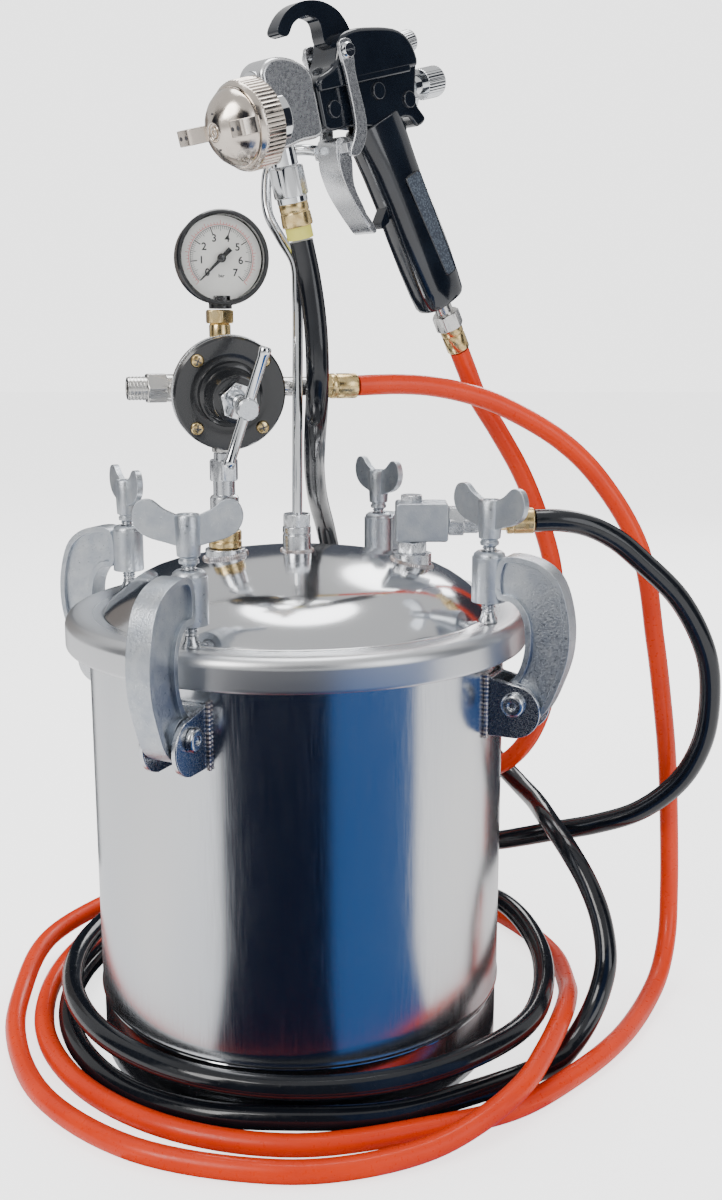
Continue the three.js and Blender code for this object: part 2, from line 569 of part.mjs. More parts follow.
// From the regulator down to the floor, two turns clockwise, and up behind the pot to the grip.
const AIR_ROUTE = [
  [35, 20.8, 388], [47, 25.6, 388.4], [60, 31.4, 388.4], [78, 39, 387], [99.6, 48, 382.6], [121.5, 55, 375],
  [159.4, 60, 353.5], [185.3, 62, 328.6], [212, 62, 284.6], [224, 62, 226.7], [230.3, 62, 187],
  [235.4, 62, 147], [239, 60, 90], [239.4, 56, 58], [237, 46, 34], [229, 28, 16.5], [216, 5, 8],
  [190, -38.5, 6.7], [157, -77, 6.7], [120, -108.5, 6.7],
  ...coils([
    { angle: -65, x: 4, y: 28, r: 169.5, z: 6.7 },
    { angle: -90, x: 4, y: 28, r: 169.5, z: 6.7 },
    { angle: -180, x: 4, y: 28, r: 166, z: 6.7 },
    { angle: -270, x: 4, y: 28, r: 176, z: 6.7 },
    { angle: -340, x: 0, y: 20, r: 175, z: 6.7 },
    { angle: -360, x: -4, y: 15, r: 171, z: 15 },
    { angle: -372, x: -4, y: 15, r: 169.5, z: 22.6 },
    { angle: -384, x: -4, y: 15, r: 170, z: 25 },
    { angle: -394, x: -3, y: 14.5, r: 172, z: 24 },
    { angle: -403, x: -2, y: 14, r: 175.5, z: 21 },
    { angle: -412, x: -2, y: 14, r: 177, z: 16 },
    { angle: -424, x: -2, y: 14, r: 177, z: 9 },
    { angle: -438, x: -2, y: 14, r: 177, z: 6.7 },
    { angle: -452, x: -2, y: 14, r: 177, z: 6.7 },
    { angle: -526, x: 2, y: 14, r: 178, z: 6.7 },
    { angle: -540, x: 2, y: 14.5, r: 179, z: 11 },
    { angle: -552, x: 2, y: 15, r: 181, z: 19 },
    { angle: -562, x: 2, y: 15, r: 181, z: 21 },
    { angle: -570, x: 2, y: 15, r: 178, z: 21.6 },
  ]),
  [-128, 140, 22], [-90, 172, 26], [-42, 189, 40], [8, 184, 63], [52, 163, 88], [88, 139, 108],
  [109, 119.5, 117.5], [124, 105.5, 125.5], [137.5, 95.5, 136.5], [148.5, 90, 152],
  [156.5, 89, 171], [162, 92.5, 196], [165.5, 98, 228],
  [163.8, 102, 264.7], [153.7, 98, 298.5], [140, 92, 330], [124, 85, 357], [109, 76.5, 380],
  [102.6, 70.8, 394.5], [97, 65.77, 407.5],
];

// From the pot outlet down beside it, two turns counterclockwise, and up in front to the gun head.
const FLUID_ROUTE = [
  [137.3, 0, 312], [151, 1, 312], [168, 4, 308.6], [186, 8, 299.6], [202, 12, 286.5], [227.6, 18, 261.6],
  [245.8, 24, 229.4], [251.3, 28, 203.2], [250, 33, 169.5], [238.3, 38, 141.6], [215.5, 45, 119],
  [189, 53, 106.6], [165, 63, 98], [146, 78, 88], [131, 96, 78],
  ...coils([
    { angle: 42, x: 7, y: 22, r: 147, z: 68 },
    { angle: 90, x: 7, y: 22, r: 149, z: 45 },
    { angle: 135, x: 7, y: 22, r: 150, z: 31 },
    { angle: 330, x: 7, y: 22, r: 150, z: 31 },
    { angle: 380, x: 6, y: 22, r: 138, z: 42 },
    { angle: 450, x: 4, y: 24, r: 142, z: 15 },
    { angle: 480, x: 4, y: 24, r: 150.5, z: 7.4 },
    { angle: 590, x: 4, y: 24, r: 150.5, z: 7.4 },
    { angle: 630, x: 4, y: 24, r: 151, z: 13 },
    { angle: 665, x: 4, y: 24, r: 151, z: 8 },
    { angle: 682, x: 4, y: 24, r: 157, z: 7.4 },
  ]),
  [148, -64, 7.6], [160, -50.5, 10.3], [171, -38.5, 19], [179.5, -29, 32.5], [184, -22, 49],
  [183, -8, 68], [177, 6, 85], [167, 24, 101], [158, 48, 110.5], [153, 78, 113], [145.5, 102, 116],
  [135, 121, 123.5], [118, 137, 140], [87, 148, 158], [64.3, 151, 171],
  [47, 150, 188],
  [33, 150, 212], [23, 150, 245], [16, 143.5, 271], [12.5, 131, 290], [10, 113, 304], [8.5, 90, 318],
  [8.2, 60, 337], [9.5, 30, 353], [10.8, 9, 365], [12, -3.5, 377], [12.8, -10, 391],
  [12.8, -12.6, 407], [11.6, -13, 426], [8.7, -13.9, 447], [4.75, -17.3, 466.7],
];

function hoseGroup() {
  const group = new THREE.Group();
  const hose = (route, size) => bar(route, size.diameter / 2, size.steps, size.sides);
  group.add(piece("air_hose", hose(AIR_ROUTE, AIR_HOSE), ORANGE));
  group.add(piece("fluid_hose", hose(FLUID_ROUTE, FLUID_HOSE), HOSE_BLACK));
  return group;
}

// ---------------------------------------------------------------- the object
const pot = new THREE.Group();
pot.add(potGroup());
CLAMP.angles.forEach((angle, index) => pot.add(clampGroup(index)));
regulatorPipe(pot);
pot.add(regulatorGroup(), gaugeGroup(), lidFittings(), gunGroup(), hoseGroup());

export default pot;
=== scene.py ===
"""Looks of the pressure pot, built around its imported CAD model. Lengths are in millimetres until a
piece is made, then in metres. The front of the object is -Y, and +Z is up."""

from math import copysign, cos, hypot, pi, radians, sin, sqrt

import bmesh
import bpy
from mathutils import Matrix, Vector


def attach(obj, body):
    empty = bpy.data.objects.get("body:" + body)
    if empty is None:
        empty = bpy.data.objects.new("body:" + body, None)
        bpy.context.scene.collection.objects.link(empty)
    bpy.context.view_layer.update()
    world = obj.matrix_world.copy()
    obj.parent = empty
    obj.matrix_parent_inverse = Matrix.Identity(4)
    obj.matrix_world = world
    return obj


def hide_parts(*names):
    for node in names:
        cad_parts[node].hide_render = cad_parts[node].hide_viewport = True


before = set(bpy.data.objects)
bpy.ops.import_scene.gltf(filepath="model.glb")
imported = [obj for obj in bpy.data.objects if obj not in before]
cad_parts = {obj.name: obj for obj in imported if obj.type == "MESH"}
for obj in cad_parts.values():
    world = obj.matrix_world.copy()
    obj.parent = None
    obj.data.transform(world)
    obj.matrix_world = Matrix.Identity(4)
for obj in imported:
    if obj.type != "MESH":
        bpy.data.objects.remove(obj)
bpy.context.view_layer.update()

MM = 0.001
LATHE = 64  # segments of a turned piece
LARGE = 160  # segments of the pot and the lid
CLAMPS = {"front_left": -114.5, "front_right": -24.5, "back_right": 65.5, "back_left": 155.5}
WING_TURN = {"front_left": 0, "front_right": -52, "back_right": -60, "back_left": -62}
SCREW_RADIUS = 117  # of the circle that the clamp screws stand on
PIVOT = (136, 221)  # radius and height of a clamp's pin
PIPE = Vector((-41, -4, 388))  # the regulator's port
GAUGE_HEIGHT = 458
PIPE_YAW = 18  # degrees that the regulator and the gauge are turned
FACE_TILT = 8  # degrees that the regulator leans below level
T_BAR_TURN = 73
DIAL_START, DIAL_SWEEP = 225, 270  # degrees, from +X and clockwise
OUTLET = Vector((66.5, 0, 312))
TRIGGER_PIVOT = (-18, 25)
FLOOR_HALF = 9  # metres
AIR_HOSE, FLUID_HOSE = 12, 13  # hose diameters
CAMERA = {"lens": 39, "place": (0.037, -0.743, 0.417), "dip": 11.54}
GUN = {"at": Vector((11.5, -11.2, 534.6)), "azimuth": 222, "dip": 15.5, "rake": 14.5}


# -------------------- camera and cords
def add(name, data):
    thing = bpy.data.objects.new(name, data)
    bpy.context.scene.collection.objects.link(thing)
    return thing


def make_camera():
    data = bpy.data.cameras.new("camera")
    data.lens = CAMERA["lens"]
    data.sensor_width = 36
    camera = add("camera", data)
    camera.location = CAMERA["place"]
    camera.rotation_euler = (radians(90 - CAMERA["dip"]), 0, 0)
    bpy.context.scene.camera = camera


def coil(stations, step=22):
    """Points along loose turns of hose, between stations of (angle, x, y, radius, height)."""
    points = []
    for start, end in zip(stations, stations[1:]):
        count = max(1, round(abs(end[0] - start[0]) / step))
        for i in range(count):
            angle, x, y, radius, height = (a + (b - a) * i / count for a, b in zip(start, end))
            turn = radians(angle)
            points.append((x + radius * cos(turn), y + radius * sin(turn), height))
    return points


def centripetal(points, per_span):
    """A smooth line through the points, as a centripetal Catmull-Rom curve."""
    knots = [Vector(p) for p in points]
    knots = [2 * knots[0] - knots[1], *knots, 2 * knots[-1] - knots[-2]]
    line = []
    for p0, p1, p2, p3 in zip(knots, knots[1:], knots[2:], knots[3:]):
        d1, d2, d3 = ((b - a).length ** 0.5 for a, b in ((p0, p1), (p1, p2), (p2, p3)))
        t1 = ((p1 - p0) / d1 - (p2 - p0) / (d1 + d2) + (p2 - p1) / d2) * d2
        t2 = ((p2 - p1) / d2 - (p3 - p1) / (d2 + d3) + (p3 - p2) / d3) * d2
        for i in range(per_span):
            t = i / per_span
            line.append(p1 + t1 * t + (3 * (p2 - p1) - 2 * t1 - t2) * t * t
                        + (2 * (p1 - p2) + t1 + t2) * t ** 3)
    return [*line, knots[-2]]


# From the regulator down to the floor, about 1.4 turns clockwise, and up behind the pot to the grip.
AIR_ROUTE = [
    (35, 20.8, 388), (47, 25.6, 388.4), (60, 31.4, 388.4), (78, 39, 387), (99.6, 48, 382.6), (121.5, 55, 375),
    (159.4, 60, 353.5), (185.3, 62, 328.6), (212, 62, 284.6), (224, 62, 226.7), (230.3, 62, 187),
    (235.4, 62, 147), (239, 60, 90), (239.4, 56, 58), (237, 46, 34), (229, 28, 16.5), (216, 5, 8),
    (190, -38.5, 6.7), (157, -77, 6.7), (120, -108.5, 6.7),
    *coil([
        (-65, 4, 28, 169.5, 6.7), (-90, 4, 28, 169.5, 6.7), (-180, 4, 28, 166, 6.7),
        (-270, 4, 28, 176, 6.7), (-340, 0, 20, 175, 6.7), (-360, -4, 15, 171, 15),
        (-372, -4, 15, 169.5, 22.6), (-384, -4, 15, 170, 25), (-394, -3, 14.5, 172, 24),
        (-403, -2, 14, 175.5, 21), (-412, -2, 14, 177, 16), (-424, -2, 14, 177, 9),
        (-438, -2, 14, 177, 6.7), (-452, -2, 14, 177, 6.7), (-526, 2, 14, 178, 6.7),
        (-540, 2, 14.5, 179, 11), (-552, 2, 15, 181, 19), (-562, 2, 15, 181, 21),
        (-570, 2, 15, 178, 21.6),
    ]),
    (-128, 140, 22), (-90, 172, 26), (-42, 189, 40), (8, 184, 63), (52, 163, 88), (88, 139, 108),
    (109, 119.5, 117.5), (124, 105.5, 125.5), (137.5, 95.5, 136.5), (148.5, 90, 152),
    (156.5, 89, 171), (162, 92.5, 196), (165.5, 98, 228),
    (163.8, 102, 264.7), (153.7, 98, 298.5), (140, 92, 330), (124, 85, 357), (109, 76.5, 380),
    (102.6, 70.8, 394.5), (97, 65.77, 407.5),
]

# From the pot outlet down beside it, about 1.8 turns counterclockwise, then up
# behind the pot and over the lid to the gun head.
FLUID_ROUTE = [
    (137.3, 0, 312), (151, 1, 312), (168, 4, 308.6), (186, 8, 299.6), (202, 12, 286.5), (227.6, 18, 261.6),
    (245.8, 24, 229.4), (251.3, 28, 203.2), (250, 33, 169.5), (238.3, 38, 141.6), (215.5, 45, 119),
    (189, 53, 106.6), (165, 63, 98), (146, 78, 88), (131, 96, 78),
    *coil([
        (42, 7, 22, 147, 68), (90, 7, 22, 149, 45), (135, 7, 22, 150, 31), (330, 7, 22, 150, 31),
        (380, 6, 22, 138, 42), (450, 4, 24, 142, 15), (480, 4, 24, 150.5, 7.4),
        (590, 4, 24, 150.5, 7.4), (630, 4, 24, 151, 13), (665, 4, 24, 151, 8), (682, 4, 24, 157, 7.4),
    ]),
    (148, -64, 7.6), (160, -50.5, 10.3), (171, -38.5, 19), (179.5, -29, 32.5), (184, -22, 49),
    (183, -8, 68), (177, 6, 85), (167, 24, 101), (158, 48, 110.5), (153, 78, 113), (145.5, 102, 116),
    (135, 121, 123.5), (118, 137, 140), (87, 148, 158), (64.3, 151, 171),
    (47, 150, 188),
    (33, 150, 212), (23, 150, 245), (16, 143.5, 271), (12.5, 131, 290), (10, 113, 304), (8.5, 90, 318),
    (8.2, 60, 337), (9.5, 30, 353), (10.8, 9, 365), (12, -3.5, 377), (12.8, -10, 391),
    (12.8, -12.6, 407), (11.6, -13, 426), (8.7, -13.9, 447), (4.75, -17.3, 466.7),
]


def hose(name, route, diameter, material):
    line = centripetal(route, 8)
    curve = bpy.data.curves.new(name, "CURVE")
    curve.dimensions = "3D"
    curve.bevel_depth = diameter / 2 * MM
    curve.bevel_resolution = 5
    curve.use_fill_caps = True
    spline = curve.splines.new("POLY")
    spline.points.add(len(line) - 1)
    for point, place in zip(spline.points, line):
        point.co = (*(place * MM), 1)
    spline.use_smooth = True
    curve.materials.append(material)
    piece = add(name, curve)
    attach(piece, "pot")
    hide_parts(name)


# -------------------- materials
class Shader:
    """A principled material whose details come from procedural nodes."""

    def __init__(self, name, color, metallic=0.0, roughness=0.5, **sockets):
        self.material = bpy.data.materials.new(name)
        self.material.use_nodes = True
        self.nodes = self.material.node_tree.nodes
        self.links = self.material.node_tree.links
        self.shader = self.nodes["Principled BSDF"]
        self.set(self.shader, "Base Color", (*color, 1))
        self.set(self.shader, "Metallic", metallic)
        self.set(self.shader, "Roughness", roughness)
        for socket, value in sockets.items():
            self.set(self.shader, socket.replace("_", " "), value)
        self.place = self.nodes.new("ShaderNodeTexCoord").outputs["Object"]

    @staticmethod
    def set(node, socket, value):
        node.inputs[socket].default_value = value

    def noise(self, scale, stretch=(1, 1, 1), detail=3.0, place=None):
        """A noise between 0 and 1; scale is in cycles per metre before the stretch."""
        mapping = self.nodes.new("ShaderNodeMapping")
        mapping.inputs["Scale"].default_value = stretch
        self.links.new(place or self.place, mapping.inputs["Vector"])
        noise = self.nodes.new("ShaderNodeTexNoise")
        self.set(noise, "Scale", scale)
        self.set(noise, "Detail", detail)
        self.links.new(mapping.outputs["Vector"], noise.inputs["Vector"])
        return noise.outputs["Fac"]

    def ramp(self, value, low, high, start=0.3, end=0.7):
        """Spreads a value over two numbers or two colours."""
        ramp = self.nodes.new("ShaderNodeValToRGB")
        stops = ramp.color_ramp.elements
        for stop, place, level in zip(stops, (start, end), (low, high)):
            color = level if hasattr(level, "__len__") else [level] * 3
            stop.position, stop.color = place, (*color, 1)
        self.links.new(value, ramp.inputs["Fac"])
        return ramp.outputs["Color"]

    def drive(self, socket, value):
        self.links.new(value, self.shader.inputs[socket])
        return self

    def bump(self, value, height, strength=1.0):
        """Adds a relief of that height in metres."""
        bump = self.nodes.new("ShaderNodeBump")
        self.set(bump, "Strength", strength)
        self.set(bump, "Distance", height)
        self.links.new(value, bump.inputs["Height"])
        before = self.shader.inputs["Normal"].links
        if before:
            self.links.new(before[0].from_socket, bump.inputs["Normal"])
        self.links.new(bump.outputs["Normal"], self.shader.inputs["Normal"])
        return self

    def radius(self):
        """Distance from the pot's axis, as a vector that varies along nothing else."""
        split = self.nodes.new("ShaderNodeSeparateXYZ")
        self.links.new(self.place, split.inputs["Vector"])
        flat = self.nodes.new("ShaderNodeCombineXYZ")
        self.links.new(split.outputs["X"], flat.inputs["X"])
        self.links.new(split.outputs["Y"], flat.inputs["Y"])
        size = self.nodes.new("ShaderNodeVectorMath")
        size.operation = "LENGTH"
        self.links.new(flat.outputs["Vector"], size.inputs[0])
        return size.outputs["Value"]


def pot_steel():
    s = Shader("pot_steel", (0.66, 0.68, 0.71), 1.0, 0.16)
    grain = s.noise(90, (22, 22, 0.5), 4)
    s.drive("Roughness", s.ramp(grain, 0.16, 0.27))
    s.bump(grain, 0.000003, 0.4)
    broad = s.noise(9, (1, 1, 0.4), 2)
    return s.drive("Base Color", s.ramp(broad, (0.60, 0.63, 0.68), (0.74, 0.74, 0.74))).material


def lid_steel():
    s = Shader("lid_steel", (0.74, 0.75, 0.77), 1.0, 0.14)
    rings = s.noise(2600, (1, 1, 1), 2, s.radius())
    s.drive("Roughness", s.ramp(s.radius(), 0.13, 0.34, 0.108, 0.122))
    s.bump(rings, 0.000004, 0.3)
    return s.bump(s.noise(14, detail=2), 0.0006, 0.12).material


def satin_steel(name="satin_steel", color=(0.7, 0.72, 0.75), roughness=0.24):
    s = Shader(name, color, 1.0, roughness)
    wear = s.noise(700, detail=5)
    s.drive("Roughness", s.ramp(wear, roughness - 0.03, roughness + 0.06))
    return s.bump(s.noise(1500, (1, 1, 3), 3), 0.00002, 0.4).material


def zinc_casting():
    s = Shader("zinc_casting", (0.62, 0.66, 0.71), 1.0, 0.36)
    grains = s.noise(900, detail=6)
    patches = s.noise(120, detail=4)
    s.drive("Base Color", s.ramp(patches, (0.46, 0.5, 0.56), (0.62, 0.65, 0.68)))
    s.drive("Roughness", s.ramp(grains, 0.26, 0.5))
    return s.bump(grains, 0.00025, 0.7).material


def brass():
    s = Shader("brass", (0.78, 0.58, 0.27), 1.0, 0.24)
    spots = s.noise(300, detail=5)
    s.drive("Base Color", s.ramp(spots, (0.62, 0.43, 0.18), (0.86, 0.68, 0.36)))
    s.drive("Roughness", s.ramp(spots, 0.32, 0.18))
    return s.bump(s.noise(1800, (1, 1, 4), 2), 0.00002, 0.4).material


def chrome(name="chrome", color=(0.86, 0.88, 0.9), roughness=0.07):
    s = Shader(name, color, 1.0, roughness)
    haze = s.noise(160, detail=4)
    s.drive("Roughness", s.ramp(haze, roughness * 0.6, roughness * 1.8))
    return s.bump(s.noise(60, detail=2), 0.0002, 0.1).material


def gun_coat():
    s = Shader("gun_coat", (0.006, 0.01, 0.018), 0.0, 0.17, Coat_Weight=0.8, Coat_Roughness=0.08)
    s.drive("Base Color", s.ramp(s.noise(40, detail=3), (0.003, 0.005, 0.01), (0.008, 0.012, 0.02)))
    return s.bump(s.noise(700, detail=3), 0.00006, 0.35).material


def black_paint():
    s = Shader("black_paint", (0.012, 0.013, 0.015), 0.0, 0.22, Coat_Weight=0.5, Coat_Roughness=0.1)
    return s.bump(s.noise(500, detail=4), 0.00008, 0.4).material


def grip_panel():
    s = Shader("grip_panel", (0.07, 0.09, 0.12), 0.0, 0.5)
    dots = s.nodes.new("ShaderNodeTexVoronoi")
    s.set(dots, "Scale", 900)
    s.links.new(s.place, dots.inputs["Vector"])
    s.drive("Base Color", s.ramp(dots.outputs["Distance"], (0.11, 0.14, 0.18), (0.03, 0.04, 0.06), 0.1, 0.6))
    return s.bump(dots.outputs["Distance"], 0.0003, 0.8).material


def hose_rubber(name, color, deep, roughness, coat):
    s = Shader(name, color, 0.0, roughness, Coat_Weight=coat, Coat_Roughness=0.08)
    s.set(s.shader, "Specular IOR Level", 0.35)
    s.drive("Base Color", s.ramp(s.noise(30, detail=3), deep, color))
    scuffs = s.noise(420, detail=5)
    s.drive("Roughness", s.ramp(scuffs, roughness - 0.06, roughness + 0.12))
    return s.bump(scuffs, 0.00005, 0.3).material


def rubber():
    s = Shader("rubber", (0.015, 0.015, 0.016), 0.0, 0.6)
    return s.bump(s.noise(600, detail=4), 0.0001, 0.5).material


def dial_white():
    s = Shader("dial_white", (0.86, 0.86, 0.83), 0.0, 0.5)
    return s.drive("Base Color", s.ramp(s.noise(50), (0.84, 0.84, 0.81), (0.9, 0.9, 0.87))).material


def ink(name, color):
    s = Shader(name, color, 0.0, 0.5)
    lighter = tuple(min(1, c + 0.02) for c in color)
    return s.drive("Base Color", s.ramp(s.noise(300), color, lighter)).material


def clear_glass():
    s = Shader("clear_glass", (1, 1, 1), 0.0, 0.02, Transmission_Weight=1.0, IOR=1.1)
    s.drive("Roughness", s.ramp(s.noise(30), 0.0, 0.03))
    return s.material


def heat_tint():
    s = Shader("heat_tint", (0.5, 0.45, 0.4), 1.0, 0.35)
    s.drive("Base Color", s.ramp(s.noise(220, detail=4), (0.42, 0.33, 0.28), (0.62, 0.62, 0.66)))
    return s.bump(s.noise(500), 0.0003, 0.6).material


def make_materials():
    return {
        "pot": pot_steel(), "lid": lid_steel(), "steel": satin_steel(), "cast": zinc_casting(),
        "nickel": satin_steel("satin_nickel", (0.72, 0.71, 0.69), 0.2),
        # A dark metal that stands in for the shade inside the bonnet screw slots and the air cap holes:
        # painted shade.
        "recess_shade": satin_steel("painted_recess_shade", (0.14, 0.14, 0.15), 0.4),
        "brass": brass(), "chrome": chrome(), "cap": chrome("cap_nickel", (0.76, 0.68, 0.6), 0.17),
        "alloy": satin_steel("head_alloy", (0.82, 0.83, 0.85), 0.26),
        "gun": gun_coat(), "paint": black_paint(), "panel": grip_panel(), "rubber": rubber(),
        "orange": hose_rubber("orange_hose", (0.8, 0.045, 0.001), (0.7, 0.034, 0.001), 0.3, 0.12),
        "hose": hose_rubber("black_hose", (0.008, 0.01, 0.014), (0.004, 0.005, 0.008), 0.16, 0.5),
        "dial": dial_white(), "ink": ink("black_ink", (0.01, 0.01, 0.012)),
        "red": ink("red_ink", (0.75, 0.06, 0.06)), "glass": clear_glass(), "weld": heat_tint(),
        "yellow": ink("yellow_band", (0.75, 0.7, 0.12)),
    }


# -------------------- mesh building
def arc(cx, cy, radius, start, end, steps=12):
    """Points along an arc, in degrees from the first axis."""
    angles = [radians(start + (end - start) * i / steps) for i in range(steps + 1)]
    return [(cx + radius * cos(a), cy + radius * sin(a)) for a in angles]


def rounded(points, radius, closed=True, steps=4):
    """The outline with each corner rounded to that radius, or less where its sides are short."""
    corners = [Vector((*p, 0)) for p in points]
    count = len(corners)
    outline = []
    for i, corner in enumerate(corners):
        if not closed and i in (0, count - 1):
            outline.append(corner)
            continue
        before, after = corners[i - 1], corners[(i + 1) % count]
        a = corner + (before - corner).normalized() * min(radius, (before - corner).length / 2.1)
        b = corner + (after - corner).normalized() * min(radius, (after - corner).length / 2.1)
        for k in range(steps + 1):
            t = k / steps
            outline.append(a * (1 - t) ** 2 + corner * 2 * t * (1 - t) + b * t * t)
    return [(p.x, p.y) for p in outline]


def smooth_outline(points, per_span=6):
    """A closed smooth outline through the points."""
    around = [*points[-2:], *points, *points[:2]]
    line = centripetal([(x, y, 0) for x, y in around], per_span)
    return [(p.x, p.y) for p in line[2 * per_span:(len(points) + 2) * per_span]]


def circle(radius, height, steps):
    """Points around local Z."""
    angles = (2 * pi * i / steps for i in range(steps))
    return [(radius * cos(a), radius * sin(a), height) for a in angles]


def turn(axis, angle):
    return Matrix.Rotation(radians(angle), 4, axis)


def shift(x, y, z):
    return Matrix.Translation((x, y, z))


ALONG_X = turn("Y", 90)  # stands a turned shape's axis along +X
DOWN = turn("X", 180)  # turns its axis to -Z


class Piece:
    """One visible piece: shapes are added in millimetres, in the frame `at`, and become one mesh.
    It replaces the CAD node of its own name, where there is one."""

    def __init__(self, name, material, at=Matrix(), body="pot", slot="stainless", bevel=0.35, sharp=35):
        self.name, self.material, self.at, self.body = name, material, at, body
        self.slot, self.bevel, self.sharp = slot, bevel, sharp
        self.mesh = bmesh.new()

    def skin(self, rings, at, closed=False):
        """Faces between rings of points. A ring of one point is a tip."""
        made = [[self.mesh.verts.new(at @ Vector(p)) for p in ring] for ring in rings]
        pairs = list(zip(made, made[1:]))
        if closed:
            pairs.append((made[-1], made[0]))
        for low, high in pairs:
            count = max(len(low), len(high))
            for i in range(count):
                k = (i + 1) % count
                corners = [low[i % len(low)], low[k % len(low)], high[k % len(high)], high[i % len(high)]]
                self.mesh.faces.new(list(dict.fromkeys(corners)))
        if not closed:
            for ring in (made[0], made[-1]):
                if len(ring) > 2:
                    self.mesh.faces.new(ring)
        return self

    def lathe(self, profile, at=Matrix(), segments=LATHE, closed=False):
        """A turned shape about local Z from (radius, height) points. A closed one is a ring."""
        rings = []
        for radius, height in profile:
            if radius < 1e-6:
                rings.append([(0, 0, height)])
                continue
            rings.append(circle(radius, height, segments))
        return self.skin(rings, at, closed)

    def rod(self, radius, start, end, at=Matrix(), tip=None, segments=LATHE):
        last = radius if tip is None else tip
        return self.lathe([(0, start), (radius, start), (last, end), (0, end)], at, segments)

    def ring(self, inner, outer, start, end, at=Matrix(), segments=LATHE):
        profile = [(inner, start), (outer, start), (outer, end), (inner, end)]
        return self.lathe(profile, at, segments, closed=True)

    def prism(self, outline, thickness, at=Matrix(), middle=0.0):
        """A flat shape in the X-Z plane, centred on y = middle."""
        sides = (middle - thickness / 2, middle + thickness / 2)
        return self.skin([[(x, y, z) for x, z in outline] for y in sides], at)

    def nut(self, across, start, end, at=Matrix(), bore=0.0, chamfer=0.12):
        """A hexagon with its corners turned off at both ends."""
        corner = across / sqrt(3)
        steps = 60
        rings = []
        edge = (corner - across / 2) * 0.9
        for height, cut in ((start, 1), (start + edge * 0.6, 0), (end - edge * 0.6, 0), (end, 1)):
            ring = []
            for i in range(steps):
                angle = 2 * pi * i / steps
                flat = across / 2 / cos((angle + pi / 6) % (pi / 3) - pi / 6)
                radius = min(flat, across / 2 * (1 + chamfer * 0.2)) if cut else flat
                ring.append((radius * cos(angle), radius * sin(angle), height))
            rings.append(ring)
        if not bore:
            return self.skin(rings, at)
        rings += [circle(bore, height, steps) for height in (end, start)]
        return self.skin(rings, at, closed=True)

    def thread(self, radius, start, end, at=Matrix(), pitch=1.5, depth=0.7, segments=36):
        """A screw thread with rounded crests, closed at both ends."""
        rings = [[(0, 0, start)]]
        count = int((end - start) / pitch * 8)
        for k in range(count + 1):
            height = start + (end - start) * k / count
            ring = []
            for i in range(segments):
                phase = (height / pitch - i / segments) % 1
                cut = depth * (0.5 + 0.5 * cos(2 * pi * phase))
                fade = min(1, (height - start) / pitch, (end - height) / pitch)
                angle = 2 * pi * i / segments
                r = radius - depth * (1 - fade) - cut * fade
                ring.append((r * cos(angle), r * sin(angle), height))
            rings.append(ring)
        rings.append([(0, 0, end)])
        return self.skin(rings, at)

    def knurl(self, radius, start, end, at=Matrix(), teeth=60, depth=0.5, bore=0.0):
        """A straight knurled drum, or a ring of it when it has a bore."""
        steps = teeth * 4
        angles = [2 * pi * i / steps for i in range(steps)]
        cut = [radius - depth * (0.5 - 0.5 * cos(pi * i / 2)) for i in range(steps)]
        plain = [radius - depth] * steps
        rings = []
        for height, size in ((start, plain), (start + 0.6, cut), (end - 0.6, cut), (end, plain)):
            rings.append([(r * cos(a), r * sin(a), height) for r, a in zip(size, angles)])
        if not bore:
            return self.skin(rings, at)
        rings += [circle(bore, height, steps) for height in (end, start)]
        return self.skin(rings, at, closed=True)

    def sweep(self, line, radius, sides=20, at=Matrix(), closed=False):
        """A round bar along a line; radius is a number or a function of the share of the way."""
        points = [Vector(p) for p in line]
        rings = []
        across = None
        for i, point in enumerate(points):
            ahead = (points[min(i + 1, len(points) - 1)] - points[max(i - 1, 0)]).normalized()
            if closed:
                ahead = (points[(i + 1) % len(points)] - points[i - 1]).normalized()
            if across is None:
                across = ahead.orthogonal().normalized()
            across = (across - ahead * across.dot(ahead)).normalized()
            other = ahead.cross(across)
            r = radius(i / (len(points) - 1)) if callable(radius) else radius
            angles = [2 * pi * k / sides for k in range(sides)]
            rings.append([point + (across * cos(a) + other * sin(a)) * r for a in angles])
        return self.skin(rings, at, closed)

    def loft(self, sections, at=Matrix(), power=2.6, sides=48):
        """A body through superellipses, each (centre, half size along u, along v, u, v)."""
        rings = []
        for centre, a, b, u, v in sections:
            ring = []
            for i in range(sides):
                angle = 2 * pi * i / sides
                c, s = cos(angle), sin(angle)
                p = copysign(abs(c) ** (2 / power), c) * a
                q = copysign(abs(s) ** (2 / power), s) * b
                ring.append(Vector(centre) + Vector(u) * p + Vector(v) * q)
            rings.append(ring)
        return self.skin(rings, at)

    def letters(self, words, size, at):
        """Raised lettering in the local X-Y plane, centred."""
        text = bpy.data.curves.new("letters", "FONT")
        text.body, text.size, text.extrude, text.offset = words, size, 0.02, size * 0.018
        text.align_x, text.align_y = "CENTER", "CENTER"
        holder = add("letters", text)
        bpy.context.view_layer.update()
        flat = bpy.data.meshes.new_from_object(holder)
        flat.transform(at)
        self.mesh.from_mesh(flat)
        bpy.data.objects.remove(holder)
        return self

